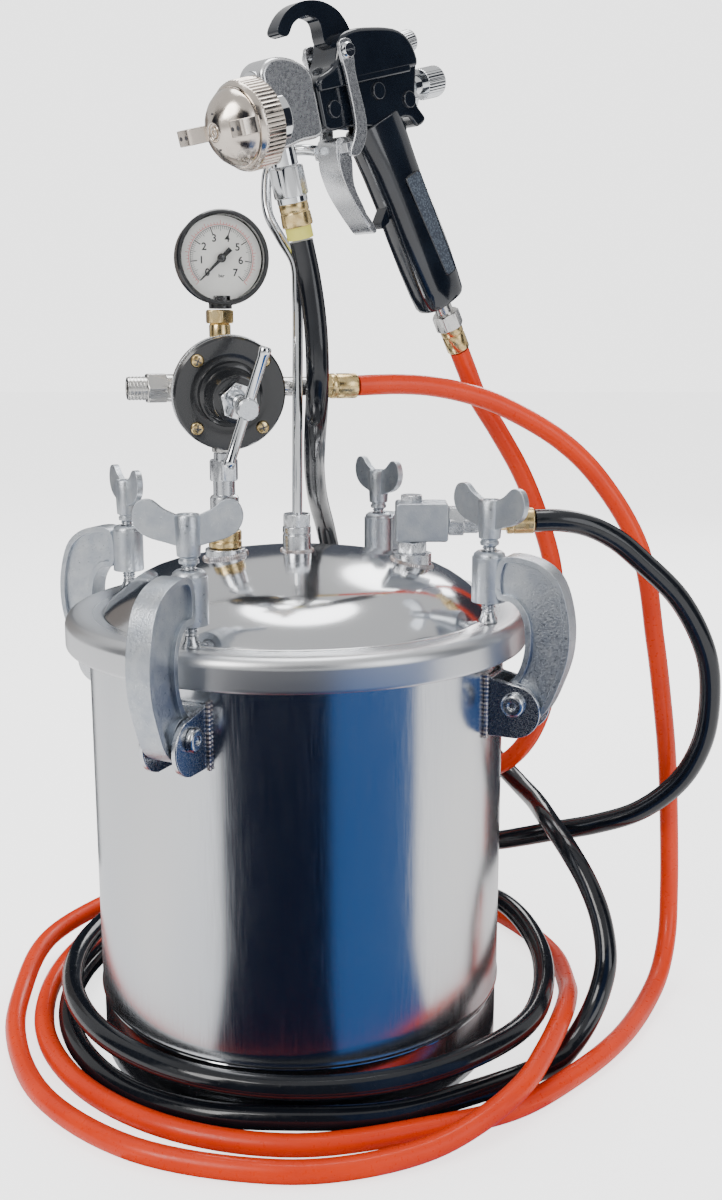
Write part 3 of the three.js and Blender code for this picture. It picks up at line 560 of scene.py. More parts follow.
    def done(self):
        bmesh.ops.transform(self.mesh, matrix=Matrix.Scale(MM, 4) @ self.at, verts=self.mesh.verts)
        bmesh.ops.recalc_face_normals(self.mesh, faces=self.mesh.faces)
        data = bpy.data.meshes.new(self.name)
        self.mesh.to_mesh(data)
        self.mesh.free()
        data.shade_smooth()
        if not self.bevel:
            data.set_sharp_from_angle(angle=radians(self.sharp))
        data.materials.append(self.material)
        piece = add(self.name, data)
        if self.bevel:
            bevel = piece.modifiers.new("edges", "BEVEL")
            bevel.width, bevel.segments = self.bevel * MM, 3
            bevel.limit_method, bevel.angle_limit = "ANGLE", radians(self.sharp)
            bevel.harden_normals = True
        else:
            normals = piece.modifiers.new("normals", "WEIGHTED_NORMAL")
            normals.keep_sharp = True
        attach(piece, self.body)
        if self.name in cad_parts:
            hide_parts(self.name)
        return piece


# -------------------- pot and lid
def dome(r, offset=0.0):
    return (r, 295 - r * r / 624 - 0.01233 * max(0, r - 80) ** 2 + offset)


def weld(name, line, radius, at=Matrix()):
    """A rippled weld bead along a line."""
    points = centripetal(line, 10)

    def ripple(t):
        return radius * (1 + 0.16 * sin(t * len(points) * 1.6))

    Piece(name, M["weld"], at, bevel=0).sweep(points, ripple, 10).done()


def make_pot():
    lip = arc(122.8, 255.6, 3.7, -80, 90, 10)
    shell = [(0, 36), (117.6, 36), *arc(118.6, 38, 2, -90, 30, 8), (120, 40.6), (120, 249)]
    shell += [*lip, (118.4, 259), (118.4, 41.5), *arc(115, 41.2, 3.4, 0, -90, 6), (0, 37.8)]
    Piece("pot_shell", M["pot"], bevel=0, sharp=50).lathe(shell, segments=LARGE).done()
    ring = [(114.8, 0), (118.4, 0), (119.2, 0.8), (119.2, 35.6), (117.2, 35.6), (117.2, 4), (114.8, 4)]
    Piece("base_ring", M["pot"]).lathe(ring, segments=LARGE, closed=True).done()
    seam = [(119 * cos(t * pi / 36), 119 * sin(t * pi / 36), 35.8) for t in range(72)]
    Piece("skirt_seam", M["chrome"], bevel=0).sweep(seam, 1.1, 10, closed=True).done()
    seal = rounded([(119.5, 258.3), (126.3, 258.3), (126.3, 260), (119.5, 260)], 0.6)
    Piece("lid_gasket", M["rubber"], slot="rubber", bevel=0).lathe(
        seal, segments=LARGE, closed=True).done()


def make_lid():
    crown = [dome(r) for r in (0, 8, 20, 34, 48, 60, 70, 80, 86, 92, 98, 103, 107)]
    roll = arc(112.6, 263.8, 1.8, 200, 280, 5)
    band = [(120, 262.5), (124, 263.3), *arc(126.6, 256.8, 6.4, 78, 0, 12), (133, 247)]
    lower = [*arc(131.5, 246.4, 1.5, 0, -90, 4), (130, 245.4), (130, 258.6), (128, 260.3)]
    under = [(108, 260.3), *[dome(r, -3) for r in (98, 80, 60, 40, 20, 0)]]
    Piece("lid", M["lid"], bevel=0, sharp=60).lathe(
        [*crown, *roll, *band, *lower, *under], segments=LARGE).done()


# -------------------- clamps
ARM = [(126, 299.5), (143, 299.7), (156.5, 291), (163.6, 272), (164.4, 251), (159.6, 233), (150.5, 215),
       (137, 209.2), (126.4, 214), (126, 226), (133.6, 233), (138, 241), (140.4, 254), (138.6, 268),
       (132.5, 276), (124, 278)]
BLADE = [(3, 315), (12, 316.5), (21, 319.5), (26, 324), (27.4, 330.5), (24.5, 336.6), (18.5, 337.6),
         (12, 333), (3, 327.5)]


def inset(outline, by):
    """The outline moved inwards."""
    count = len(outline)
    area = sum(a[0] * b[1] - b[0] * a[1] for a, b in zip(outline, outline[1:] + outline[:1]))
    side = 1 if area > 0 else -1
    inner = []
    for i, (x, z) in enumerate(outline):
        dx = outline[(i + 1) % count][0] - outline[i - 1][0]
        dz = outline[(i + 1) % count][1] - outline[i - 1][1]
        size = hypot(dx, dz) * side
        inner.append((x - dz / size * by, z + dx / size * by))
    return inner


def make_clamp(label, angle):
    at = turn("Z", angle)
    px, pz = PIVOT
    screw_at = at @ shift(SCREW_RADIUS, 0, 0)
    ear = [(121, 202), (138, 202), *arc(px, 217, 14.8, -80, 88, 16), (121, 235)]
    bracket = Piece(f"clamp_bracket_{label}", M["steel"], at,
                    slot="plated_steel", bevel=0.6)
    for side in (-9.4, 9.4):
        bracket.prism(ear, 3, middle=side)
    bracket.prism([(120.6, 202), (123.5, 202), (123.5, 235), (120.6, 235)], 21.8)
    bracket.done()
    for side in (-1, 1):
        bead = [(120.7, side * 11.3, 200.6 + 6 * i) for i in range(7)]
        weld(f"clamp_weld_{label}_{'right' if side > 0 else 'left'}", bead, 1.3, at)
    pin = Piece(f"clamp_pin_{label}", M["steel"], at @ shift(px, 0, pz) @ turn("X", 90),
                slot="plated_steel")
    pin.rod(4.3, -13, 13)
    for flip in (Matrix(), DOWN):
        pin.lathe([(0, 11.2), (6.6, 11.2), *arc(4.4, 12.4, 2.2, 0, 90, 6), (2.4, 14.6), (1.8, 13.4),
                   (0, 13.4)], flip)
    pin.done()
    outline = smooth_outline(ARM, 5)
    arm = Piece(f"clamp_arm_{label}", M["cast"], at, f"arm_{label}",
                "zinc_casting", bevel=1.1, sharp=50)
    arm.prism(inset(outline, 0.6), 9.4)
    inner = inset(outline, 3.4)
    arm.skin([[(x, y, z) for x, z in edge] for edge, y in
              ((outline, -7), (outline, 7), (inner, 7), (inner, -7))], Matrix(), closed=True)
    arm.ring(4.5, 9.3, 274.5, 299.5, shift(SCREW_RADIUS, 0, 0))
    arm.lathe([(4.5, 299), (8.7, 299), (8.4, 301), (6.6, 302.4), (4.5, 302.4)],
              shift(SCREW_RADIUS, 0, 0), closed=True)
    arm.ring(5, 11.4, -7.2, 7.2, shift(px, 0, pz) @ turn("X", 90))
    arm.done()
    foot = [(0, 262.8), (5, 262.8), (5.3, 263.2), (5.3, 264.4), (3.8, 267), (3.6, 269), (0, 269)]
    Piece(f"clamp_foot_{label}", M["steel"], screw_at, f"foot_{label}",
          "plated_steel").lathe(foot).done()
    wing_at = shift(*(screw_at.translation)) @ turn("Z", WING_TURN[label])
    screw = Piece(f"wing_screw_{label}", M["steel"], wing_at, f"screw_{label}",
                  "zinc_casting", bevel=0)
    screw.thread(3.9, 269.3, 309, pitch=1.6)
    screw.done()
    wings = Piece(f"wing_{label}", M["cast"], wing_at, f"screw_{label}", slot="zinc_casting", bevel=0.9)
    wings.lathe([(0, 305.6), (5, 305.6), (5.2, 307.6), (4.4, 308.2), (4.6, 309), (5.9, 309.4), (6.2, 314),
                 (6.7, 329), (5.8, 330.4), (4.3, 330.4), (4.1, 329), (0, 329)])
    for flip in (Matrix(), turn("Z", 180)):
        wings.prism(smooth_outline(BLADE, 5), 3.8, flip)
    wings.done()


# -------------------- regulator and gauge
REGULATOR = shift(*PIPE) @ turn("Z", PIPE_YAW)
FACE = REGULATOR @ turn("X", 90 + FACE_TILT)  # +Z out of the face
DIAL = shift(PIPE.x, PIPE.y, GAUGE_HEIGHT) @ turn("Z", PIPE_YAW) @ turn("X", 90)  # +Z out of the dial
T_BAR = FACE @ turn("Z", T_BAR_TURN)


def make_pipe():
    at = shift(PIPE.x, PIPE.y, 0)
    Piece("regulator_boss", M["steel"], at, bevel=0.8).ring(6, 11.6, 284, 296.8).done()
    foot = [(PIPE.x + 12 * cos(k), PIPE.y + 12 * sin(k)) for k in
            (i * pi / 12 for i in range(24))]
    weld("boss_weld", [(x, y, dome(hypot(x, y))[1] + 0.4) for x, y in foot], 1.2)
    nipple = [(0, 297.1), (8.8, 297.1), (9.5, 297.8), (9.5, 300.4), (8.9, 301), (9.5, 301.6), (9.5, 306.3),
              (8.8, 307.1), (0, 307.1)]
    Piece("regulator_nipple", M["brass"], at, slot="brass").lathe(nipple).done()
    union = Piece("regulator_union", M["steel"], at)
    union.lathe([(0, 307.4), (6, 307.4), (8.2, 308.8), (8.2, 313), (7.7, 313.6), (8.2, 314.2), (8.2, 326),
                 (7.4, 327), (6.2, 327.6), (6.2, 336), (0, 336)])
    union.nut(15.2, 335.6, 347.6).rod(5.6, 347, 351.4).done()


def make_regulator():
    body = Piece("regulator_body", M["nickel"], REGULATOR, slot="satin_nickel",
                 bevel=0.5)
    body.lathe([(0, -36.2), (6.4, -36.2), (6.4, -25), (8.6, -23), (10, -21), (10, 20), (9, 22.6), (7, 23),
                (6.2, 27.2), (0, 27.2)])
    body.lathe([(0, -23), (8, -23), (8, 20), (6.6, 22.4), (5.4, 24), (5.4, 53), (0, 53)], ALONG_X)
    body.done()
    disc = Piece("regulator_housing", M["nickel"], FACE, slot="satin_nickel", bevel=0.7)
    disc.lathe([(0, 0), (11, 0), (13.4, 5), (22, 8.4), (30, 8.4), (30.7, 9.2), (30.7, 12.8), (0, 12.8)])
    for i in range(6):
        disc.prism([(12, 2), (25, 7.6), (12, 9)], 3, turn("Z", 60 * i))
    disc.done()
    Piece("diaphragm", M["rubber"], FACE, slot="rubber", bevel=0.2).rod(
        28.3, 13.3, 14.5).done()
    rim = [(10.6, 14.8), (30.6, 14.8), (31.3, 15.6), (31.3, 20.8), (30.2, 22), (22.6, 22), (21.4, 21.2),
           (18.2, 21.2), (17.6, 22), (17.4, 24), (16.4, 24.6), (15.4, 25), (13.6, 36.6),
           (12.8, 38.6), (11.6, 39), (4.6, 39), (4.6, 30), (10.6, 30), (10.6, 15.4)]
    Piece("regulator_bonnet", M["paint"], FACE, slot="black_paint",
          bevel=0).lathe(rim, closed=True).done()
    Piece("bonnet_trim", M["chrome"], FACE, slot="black_paint", bevel=0.2).ring(30.4, 31.7, 15.4, 17.2).done()
    for i in range(4):
        at = FACE @ turn("Z", 45 + 90 * i) @ shift(26, 0, 0) @ turn("Z", 20 * i)
        screw = Piece(f"bonnet_screw_{i + 1}", M["brass"], at, slot="brass", bevel=0.25)
        screw.lathe([(0, 21.4), (3.7, 21.4), (3.7, 22.4), (3.1, 23.4), (1.6, 24), (0, 24.1)])
        screw.done()
        # Each screw slot is a thin dark cross laid on the head rather than a recess: painted shade.
        slot = Piece(f"bonnet_slot_{i + 1}", M["recess_shade"], at, slot="black_paint", bevel=0)
        for quarter in (0, 90):
            slot.prism([(-2.1, 23.9), (2.1, 23.9), (2.1, 24.2), (-2.1, 24.2)], 0.7, turn("Z", quarter))
        slot.done()
    wire = [(7.4 * cos(k / 4), 7.4 * sin(k / 4), 16 + k * 0.086) for k in range(126)]
    Piece("adjusting_spring", M["steel"], FACE, "regulator_push", "plated_steel", 0).sweep(
        wire, 0.8, 8).done()
    Piece("spring_button", M["brass"], FACE, "regulator_push", "brass").rod(
        9.6, 27.9, 30.5).done()
    screw = Piece("regulator_screw", M["steel"], T_BAR, "regulator_adjuster",
                  "plated_steel", 0)
    screw.thread(4, 30.8, 57, pitch=1.5)
    screw.lathe([(0, 55.6), (5, 55.6), (5.8, 56.4), (5.8, 65), (5, 66), (0, 66)]).done()
    Piece("lock_nut", M["chrome"], FACE @ turn("Z", 12), slot="plated_steel").nut(
        18.5, 39.4, 45.4, bore=4.3).done()
    bar = Piece("t_bar", M["chrome"], T_BAR @ shift(0, 0, 61) @ ALONG_X, "regulator_adjuster",
                "chrome", bevel=0.2)
    bar.lathe([(0, -33), (2.6, -33), (3.3, -32), (3.3, -29), (2.85, -28), (2.85, 28), (3.3, 29), (3.3, 32),
               (2.6, 33), (0, 33)]).done()
    inlet = Piece("air_inlet_nipple", M["nickel"], REGULATOR @ turn("Y", -90),
                  slot="satin_nickel")
    inlet.rod(7.6, 23.3, 31.9).nut(15.5, 31.6, 42.6)
    inlet.ring(3.6, 6.2, 42.2, 53.1)
    for i in range(5):
        inlet.ring(5, 6.5, 43.6 + 1.9 * i, 44.5 + 1.9 * i)
    inlet.rod(3.8, 42, 46).done()
    outlet = Piece("air_outlet_fitting", M["brass"], REGULATOR @ ALONG_X,
                   slot="brass")
    outlet.nut(13, 53.4, 63.4).lathe([(0, 63), (7, 63), (7.2, 64), (7.2, 66), (6.8, 66.6), (7.2, 67.2),
                                      (7.2, 78), (6.8, 79), (0, 79)]).done()


def make_gauge():
    case = [(0, -5), (23.6, -5), (24.6, -4), (24.6, 7.4), (25.6, 8), (25.6, 10.2), (24.8, 11.2), (23.6, 11.2),
            (23, 10.4), (23, -3), (0, -3)]
    Piece("gauge_case", M["paint"], DIAL, slot="black_paint", bevel=0).lathe(case).done()
    Piece("gauge_neck", M["paint"], DIAL @ turn("X", -90), slot="black_paint").rod(6.4, -27, -20).done()
    Piece("gauge_dial", M["dial"], DIAL, slot="white_dial", bevel=0).rod(22.6, 3.4, 4.4).done()
    black = Piece("dial_scale", M["ink"], DIAL, slot="white_dial", bevel=0)
    red = Piece("dial_outer_scale", M["red"], DIAL, slot="white_dial", bevel=0)
    for i in range(71):
        at = turn("Z", DIAL_START - DIAL_SWEEP * i / 70)
        long = 3.6 if i % 10 == 0 else 2.6 if i % 5 == 0 else 1.6
        wide = 0.55 if i % 10 == 0 else 0.22
        black.prism([(17 - long, 4.4), (17, 4.4), (17, 4.5), (17 - long, 4.5)], wide, at)
    for i in range(51):
        at = turn("Z", DIAL_START - DIAL_SWEEP * i / 50)
        long = 2 if i % 5 == 0 else 1.1
        red.prism([(18, 4.4), (18 + long, 4.4), (18 + long, 4.5), (18, 4.5)], 0.22, at)
    for radius, piece in ((17.1, black), (17.9, red)):
        line = [(radius * cos(a), radius * sin(a), 4.45) for a in
                (radians(DIAL_START - 4.5 * k) for k in range(61))]
        piece.sweep(line, 0.14, 6)
    for value in range(8):
        angle = radians(DIAL_START - DIAL_SWEEP * value / 7)
        black.letters(str(value), 5.6, shift(11 * cos(angle), 11 * sin(angle), 4.45))
    black.letters("bar", 2.6, shift(0, -9.4, 4.45))
    black.done()
    red.done()
    hand = Piece("gauge_needle", M["paint"], DIAL @ turn("Z", DIAL_START), "needle_pointer",
                 "black_paint", bevel=0)
    hand.skin([[(-7, -1.4, z), (-7, 1.4, z), (0, 1, z), (17, 0.3, z), (17, -0.3, z), (0, -1, z)]
               for z in (5.9, 6.5)], Matrix())
    hand.lathe([(0, 5.4), (2.4, 5.4), (2.4, 6.4), (1.4, 7), (0, 7)]).done()
    Piece("gauge_lens", M["glass"], DIAL, slot="gauge_glass", bevel=0.2).rod(
        22.6, 8.4, 9.6).done()
    stem = Piece("gauge_stem", M["brass"], DIAL @ turn("X", -90) @ shift(0, 2.6, 0),
                 slot="brass")
    stem.nut(14, -34.9, -27.5).lathe([(0, -42.7), (5.4, -42.7), (6, -42), (6, -36), (5.2, -34.6), (0, -34.6)])
    stem.done()


# -------------------- fittings on the lid
def make_outlet():
    at = shift(OUTLET.x, 0, 0)
    boss = Piece("outlet_boss", M["steel"], at, bevel=0.8)
    boss.ring(6, 11.3, 283, 293.4).nut(16.2, 293.2, 300.4).done()
    weld("outlet_weld", [(OUTLET.x + 11.7 * cos(k / 4), 11.7 * sin(k / 4),
                          dome(hypot(OUTLET.x + 11.7 * cos(k / 4), 11.7 * sin(k / 4)))[1])
                         for k in range(26)], 1.1)
    tube = Piece("pickup_tube", M["steel"], at)
    tube.ring(3.8, 5, 52, 286).ring(4, 6.2, 270.6, 278.6).done()
    block = Piece("outlet_block", M["cast"], shift(71.8, 0, OUTLET.z),
                  slot="satin_nickel", bevel=1.2)
    block.prism(rounded([(-15, -11), (15, -11), (15, 11), (-15, 11)], 2), 22).done()
    plug = Piece("outlet_plug", M["steel"], shift(66, 0, OUTLET.z), slot="satin_nickel")
    plug.nut(12, 10.6, 15).done()
    axis = shift(0, 0, OUTLET.z) @ ALONG_X
    unions = Piece("outlet_unions", M["steel"], axis, slot="brass")
    unions.nut(16, 87.1, 96.1).nut(13.5, 95.5, 104.5).done()
    fitting = Piece("outlet_fitting", M["brass"], axis, slot="brass")
    fitting.lathe([(0, 104), (5.6, 104), (5.6, 108), (4.9, 108.6), (4.9, 109.4), (5.6, 110), (5.6, 122),
                   (0, 122)])
    fitting.lathe([(0, 121), (7.2, 121), (7.8, 121.8), (7.7, 124), (7.2, 124.6), (7.7, 125.2), (7.4, 136),
                   (6.9, 136.6), (0, 136.6)]).done()


HOOK = [(0, 0, 295), (0.6, 0, 340), (1.2, 0, 390), (1.6, 0, 438), (0.4, 1, 456), (-7, 3, 469),
        (-14, 6, 482), (-15.6, 9, 496), (-13.4, 9.4, 508), (-5, 5, 514.5), (5, 0, 515.6), (13, -3.4, 514.6)]


def make_hook_rod():
    collar = Piece("rod_collar", M["steel"])
    collar.lathe([(0, 288), (8.6, 294.4), (8.2, 295.6), (8.2, 304), (7.6, 304.6), (8.2, 305.2), (8.2, 308.4),
                  (7.6, 309.2), (0, 309.2)]).nut(15, 308.8, 316.2)
    collar.done()
    weld("collar_weld", [(8.8 * cos(k / 3), 8.8 * sin(k / 3), 295) for k in range(20)], 1)
    Piece("hook_rod", M["chrome"], slot="chrome", bevel=0.5).sweep(
        centripetal(HOOK, 8), 2.9, 24).done()


# -------------------- spray gun
def gun_frame():
    azimuth, dip = radians(GUN["azimuth"]), radians(GUN["dip"])
    forward = Vector((cos(azimuth) * cos(dip), sin(azimuth) * cos(dip), -sin(dip)))
    up = Vector((cos(azimuth) * sin(dip), sin(azimuth) * sin(dip), cos(dip)))
    basis = Matrix((forward, up.cross(forward), up)).transposed()
    return Matrix.Translation(GUN["at"]) @ basis.to_4x4()


BARREL = gun_frame()  # X forward, Y to the gun's left, Z up
BORE = BARREL @ ALONG_X  # +Z forward along the barrel
GRIP = BARREL @ shift(-45, 0, -30) @ turn("Y", 180 + GUN["rake"])  # +Z down the grip
CASTING = [(3, -10), (3, 13), (-12, 20), (-20, 33), (-44, 34), (-66, 28), (-73, 14), (-68, -8), (-73, -18),
           (-66, -21), (-60, -15), (-40, -17), (-20, -13)]
HANGER = [(-33, 30), (-29, 43), (-18, 50.6), (-2, 52.4), (10, 48), (17, 40), (11, 37.5), (5, 43),
          (-4, 45.4), (-12, 42), (-14, 30)]
HEAD = [(4, -12), (4, 17), (14, 26), (30, 28.5), (38, 22), (38, -14), (20, -14)]


def make_gun_body():
    casting = [(min(x, 3), z) for x, z in smooth_outline(CASTING, 5)]
    body = Piece("gun_body", M["gun"], BARREL, slot="gun_black", bevel=3.4, sharp=50)
    body.prism([(x, max(z, 9)) for x, z in casting if z > 6], 24)
    body.done()
    stock = Piece("gun_stock", M["gun"], BARREL, slot="gun_black", bevel=2.6, sharp=50)
    stock.prism([(x, min(z, 12)) for x, z in casting if z < 15], 19.6).done()
    ridge = Piece("gun_ridge", M["gun"], BARREL, slot="gun_black", bevel=1.4, sharp=50)
    ridge.prism(rounded([(2.6, 8), (2.6, 12.4), (-66, 12.4), (-66, 8)], 1.5), 24).done()
    bosses = Piece("gun_bosses", M["gun"], BARREL @ turn("X", 90), slot="gun_black", bevel=0.8)
    for x, z in ((-40, 2), (-62, -6), (-6, -2)):
        bosses.rod(4.6, -11.2, 11.2, shift(x, z, 0))
    bosses.done()
    hanger = Piece("gun_hanger", M["gun"], BARREL, slot="gun_black", bevel=2.2, sharp=50)
    hanger.prism(smooth_outline(HANGER, 5), 9)
    hanger.prism(rounded([(-38, -57), (-36, -67), (-29, -70), (-29, -66.5), (-34, -61)], 1.2), 8)
    hanger.done()
    grip = Piece("gun_grip", M["gun"], GRIP, slot="gun_black", bevel=0.8, sharp=60)
    stations = [(-18, 18, 11.2), (-6, 18, 11.8), (8, 17, 12), (26, 16.4, 12), (46, 17, 12.4),
                (66, 17, 12.4), (82, 16.6, 12), (91, 16, 11.6), (94, 14.6, 10.4)]
    grip.loft([((0, 0, s), a, b, (1, 0, 0), (0, 1, 0)) for s, a, b in stations]).done()
    for side in (-1, 1):
        label = "left" if side > 0 else "right"
        panel = Piece(f"grip_panel_{label}", M["panel"], GRIP, slot="gun_black", bevel=0.3)
        edge = rounded([(-3, 16), (9, 16), (9, 78), (1, 78)], 2.5)
        panel.prism(edge, 1, middle=side * 12.1).done()
        frame_line = [(x, side * 12.4, z) for x, z in edge]
        Piece(f"grip_line_{label}", M["gun"], GRIP, slot="gun_black", bevel=0).sweep(
            frame_line, 0.45, 8, closed=True).done()
    pivot_x, pivot_z = TRIGGER_PIVOT
    pivot = Piece("trigger_screw", M["chrome"], BARREL @ shift(pivot_x, 0, pivot_z) @ turn("X", 90),
                  slot="gun_black", bevel=0.3)
    pivot.rod(1.9, -15.5, 15.5)
    for flip in (Matrix(), DOWN):
        pivot.lathe([(0, 15.4), (4.2, 15.4), (4.2, 16.8), (3.4, 17.8), (0, 17.8)], flip)
        pivot.prism([(-3.4, 17.7), (3.4, 17.7), (3.4, 17.95), (-3.4, 17.95)], 0.8, flip)
    pivot.done()
    nut = Piece("packing_nut", M["chrome"], BORE @ shift(6, 0, 0), slot="gun_black")
    nut.nut(15, -72, -66).done()


def make_gun_head():
    head = Piece("gun_head", M["alloy"], BARREL, slot="chrome", bevel=2.4, sharp=50)
    head.prism([(min(max(x, 3.8), 38), z) for x, z in smooth_outline(HEAD, 5)], 20).done()
    bores = Piece("gun_head_barrels", M["chrome"], BORE, slot="chrome", bevel=0.6)
    bores.lathe([(0, 26), (13.4, 26), (14.5, 27), (14.5, 38), (17.5, 38.6), (17.5, 52), (0, 52)])
    bores.lathe([(0, 8), (7.4, 8), (9, 11), (9, 38), (0, 38)], shift(-16, 0, 0))
    bores.done()
    stub = Piece("gun_head_stub", M["chrome"], BARREL @ shift(27, 0, 0) @ DOWN, slot="chrome")
    stub.rod(7.2, 8, 24).done()
    ring = Piece("retaining_ring", M["cap"], BORE, "retaining_ring",
                 "nickel_cap", bevel=0)
    ring.knurl(22.6, 38.4, 50.6, teeth=64, depth=0.6, bore=19.9)
    ring.lathe([(19.9, 50), (22, 50), (22, 51.4), (20.6, 53.4), (19.9, 53.4)], closed=True).done()
    cap = Piece("air_cap", M["cap"], BORE, "air_cap", "nickel_cap", bevel=0.5)
    cap.lathe([(0, 52.6), (18.8, 52.6), (19.4, 53.2), (19.4, 55.6), (17, 59.4), (14, 62.5), (8, 66.5),
               (5.2, 68), (4.4, 68), (4, 66.8), (3, 66.8), (2.6, 68.4), (1.2, 68.4), (1, 67), (0, 67)])
    horn = rounded([(9, 54), (24, 56), (29, 62), (28, 71), (17.5, 71), (12, 63)], 2)
    for flip in (turn("Z", 90), turn("Z", -90)):
        cap.prism(horn, 8, flip)
    cap.done()
    # The holes are thin dark discs on the cap rather than bores: painted shade.
    holes = Piece("air_cap_holes", M["recess_shade"], BORE, "air_cap", slot="nickel_cap", bevel=0)
    for angle in (90, -90):
        for out in (20, 24.5):
            at = turn("Z", angle) @ shift(out, 0, 70.9)
            holes.rod(1.1, 0, 0.25, at)
    for angle in (0, 180):
        holes.rod(0.9, 0, 0.3, turn("Z", angle) @ shift(8.4, 0, 66.0))
    holes.done()
    Piece("fluid_needle", M["steel"], BORE, "fluid_needle",
          "plated_steel").rod(1.5, -68, 50).done()


def make_trigger():
    px, pz = TRIGGER_PIVOT
    strip = [(px - 4, pz + 5), (px + 4, pz + 5), (px + 3.4, pz - 12), (px + 4, -14), (-7, -26), (-13, -27),
             (-22, -16), (px - 3.6, pz - 12)]
    lever = [(-14, -18), (-5.5, -17), (-3, -28), (-5, -42), (-11, -56), (-19, -70), (-21.5, -69),
             (-14.5, -55), (-9, -42), (-8, -30)]
    trigger = Piece("trigger", M["alloy"], BARREL, "trigger", "chrome", bevel=0.7, sharp=50)
    for side in (-14, 14):
        trigger.prism(smooth_outline(strip, 5), 2.2, middle=side)
        cheek = [(-9, -17), (-3.4, -28), (-5, -42), (-11, -56), (-17, -66), (-15.4, -57), (-11, -42),
                 (-13, -26)]
        trigger.prism(smooth_outline(cheek, 4), 1.8, middle=side * 0.56)
    trigger.prism([(-12, -24.5), (-6, -24.5), (-6, -19.5), (-12, -19.5)], 28)
    trigger.prism(smooth_outline(lever, 5), 16)
    trigger.done()


def make_gun_fittings():
    knob = Piece("fluid_knob", M["chrome"], BORE, "fluid_knob", "chrome", bevel=0)
    knob.rod(5.4, -82.5, -74.5)
    knob.knurl(8.6, -95.6, -82, teeth=32, depth=0.5)
    knob.lathe([(0, -96.5), (6.6, -96.5), (8, -95.2), (0, -95)]).done()
    side = BARREL @ shift(-72.6, 0, 23) @ turn("Y", -84.3)
    pattern = Piece("pattern_knob", M["chrome"], side, "pattern_knob", "chrome", bevel=0)
    pattern.knurl(6.2, 0.6, 8, teeth=26, depth=0.4).rod(4, -3, 1).done()
    inlet_at = BARREL @ shift(27, 0, 0) @ DOWN
    inlet = Piece("gun_fluid_inlet", M["chrome"], inlet_at, slot="brass")
    inlet.nut(16.4, 24.4, 40).rod(8.2, 39.6, 43).done()
    ferrule = Piece("fluid_ferrule", M["brass"], inlet_at, slot="brass")
    ferrule.lathe([(0, 42.8), (7.6, 42.8), (8, 43.4), (8, 47), (7.6, 47.6), (8.1, 48.2), (8.4, 54.6),
                   (8, 55.4), (0, 55.4)]).done()
    Piece("hose_band", M["yellow"], inlet_at, slot="brass").rod(7.2, 55, 62).done()
    air = Piece("gun_air_inlet", M["nickel"], GRIP, slot="brass")
    air.rod(5.4, 94.2, 103).nut(15, 101.4, 111.4).done()
    sleeve = Piece("air_ferrule", M["brass"], GRIP, slot="brass")
    sleeve.lathe([(0, 110.8), (6.4, 110.8), (6.9, 111.4), (6.9, 115), (6.5, 115.6), (6.9, 116.2),
                  (6.9, 125.8), (6.5, 126.4), (0, 126.4)]).done()


# -------------------- studio
def surface(name, corners, faces, material):
    mesh = bpy.data.meshes.new(name)
    mesh.from_pydata(corners, [], faces)
    mesh.materials.append(material)
    piece = add(name, mesh)
    return piece


def glow(name, color, strength):
    material = bpy.data.materials.new(name)
    material.use_nodes = True
    nodes = material.node_tree.nodes
    nodes.clear()
    light = nodes.new("ShaderNodeEmission")
    light.inputs["Color"].default_value = (*color, 1)
    light.inputs["Strength"].default_value = strength
    output = nodes.new("ShaderNodeOutputMaterial")
    material.node_tree.links.new(light.outputs["Emission"], output.inputs["Surface"])
    return material


def card(name, radius, span, heights, color, strength, steps=12):
    """A curved card about the pot that only reflections see; 0 degrees is the front. It stands
    upright at one radius, or lies flat between two."""
    corners = []
    for r, z in zip((radius, radius) if isinstance(radius, float) else radius, heights):
        for i in range(steps + 1):
            angle = radians(span[0] + (span[1] - span[0]) * i / steps)
            corners.append((r * sin(angle), -r * cos(angle), z))
    faces = [(i, i + 1, i + steps + 2, i + steps + 1) for i in range(steps)]
    piece = surface(name, corners, faces, glow(name, color, strength))
    piece.visible_camera = False
    piece.visible_shadow = False
    piece.visible_diffuse = False
    piece.visible_transmission = False


def soft_light(name, place, target, size, watts, color=(1, 1, 1)):
    data = bpy.data.lights.new(name, "AREA")
    data.shape, data.size, data.energy, data.color = "DISK", size, watts, color
    light = add(name, data)
    light.location = place
    light.rotation_euler = (Vector(target) - Vector(place)).to_track_quat("-Z", "Y").to_euler()


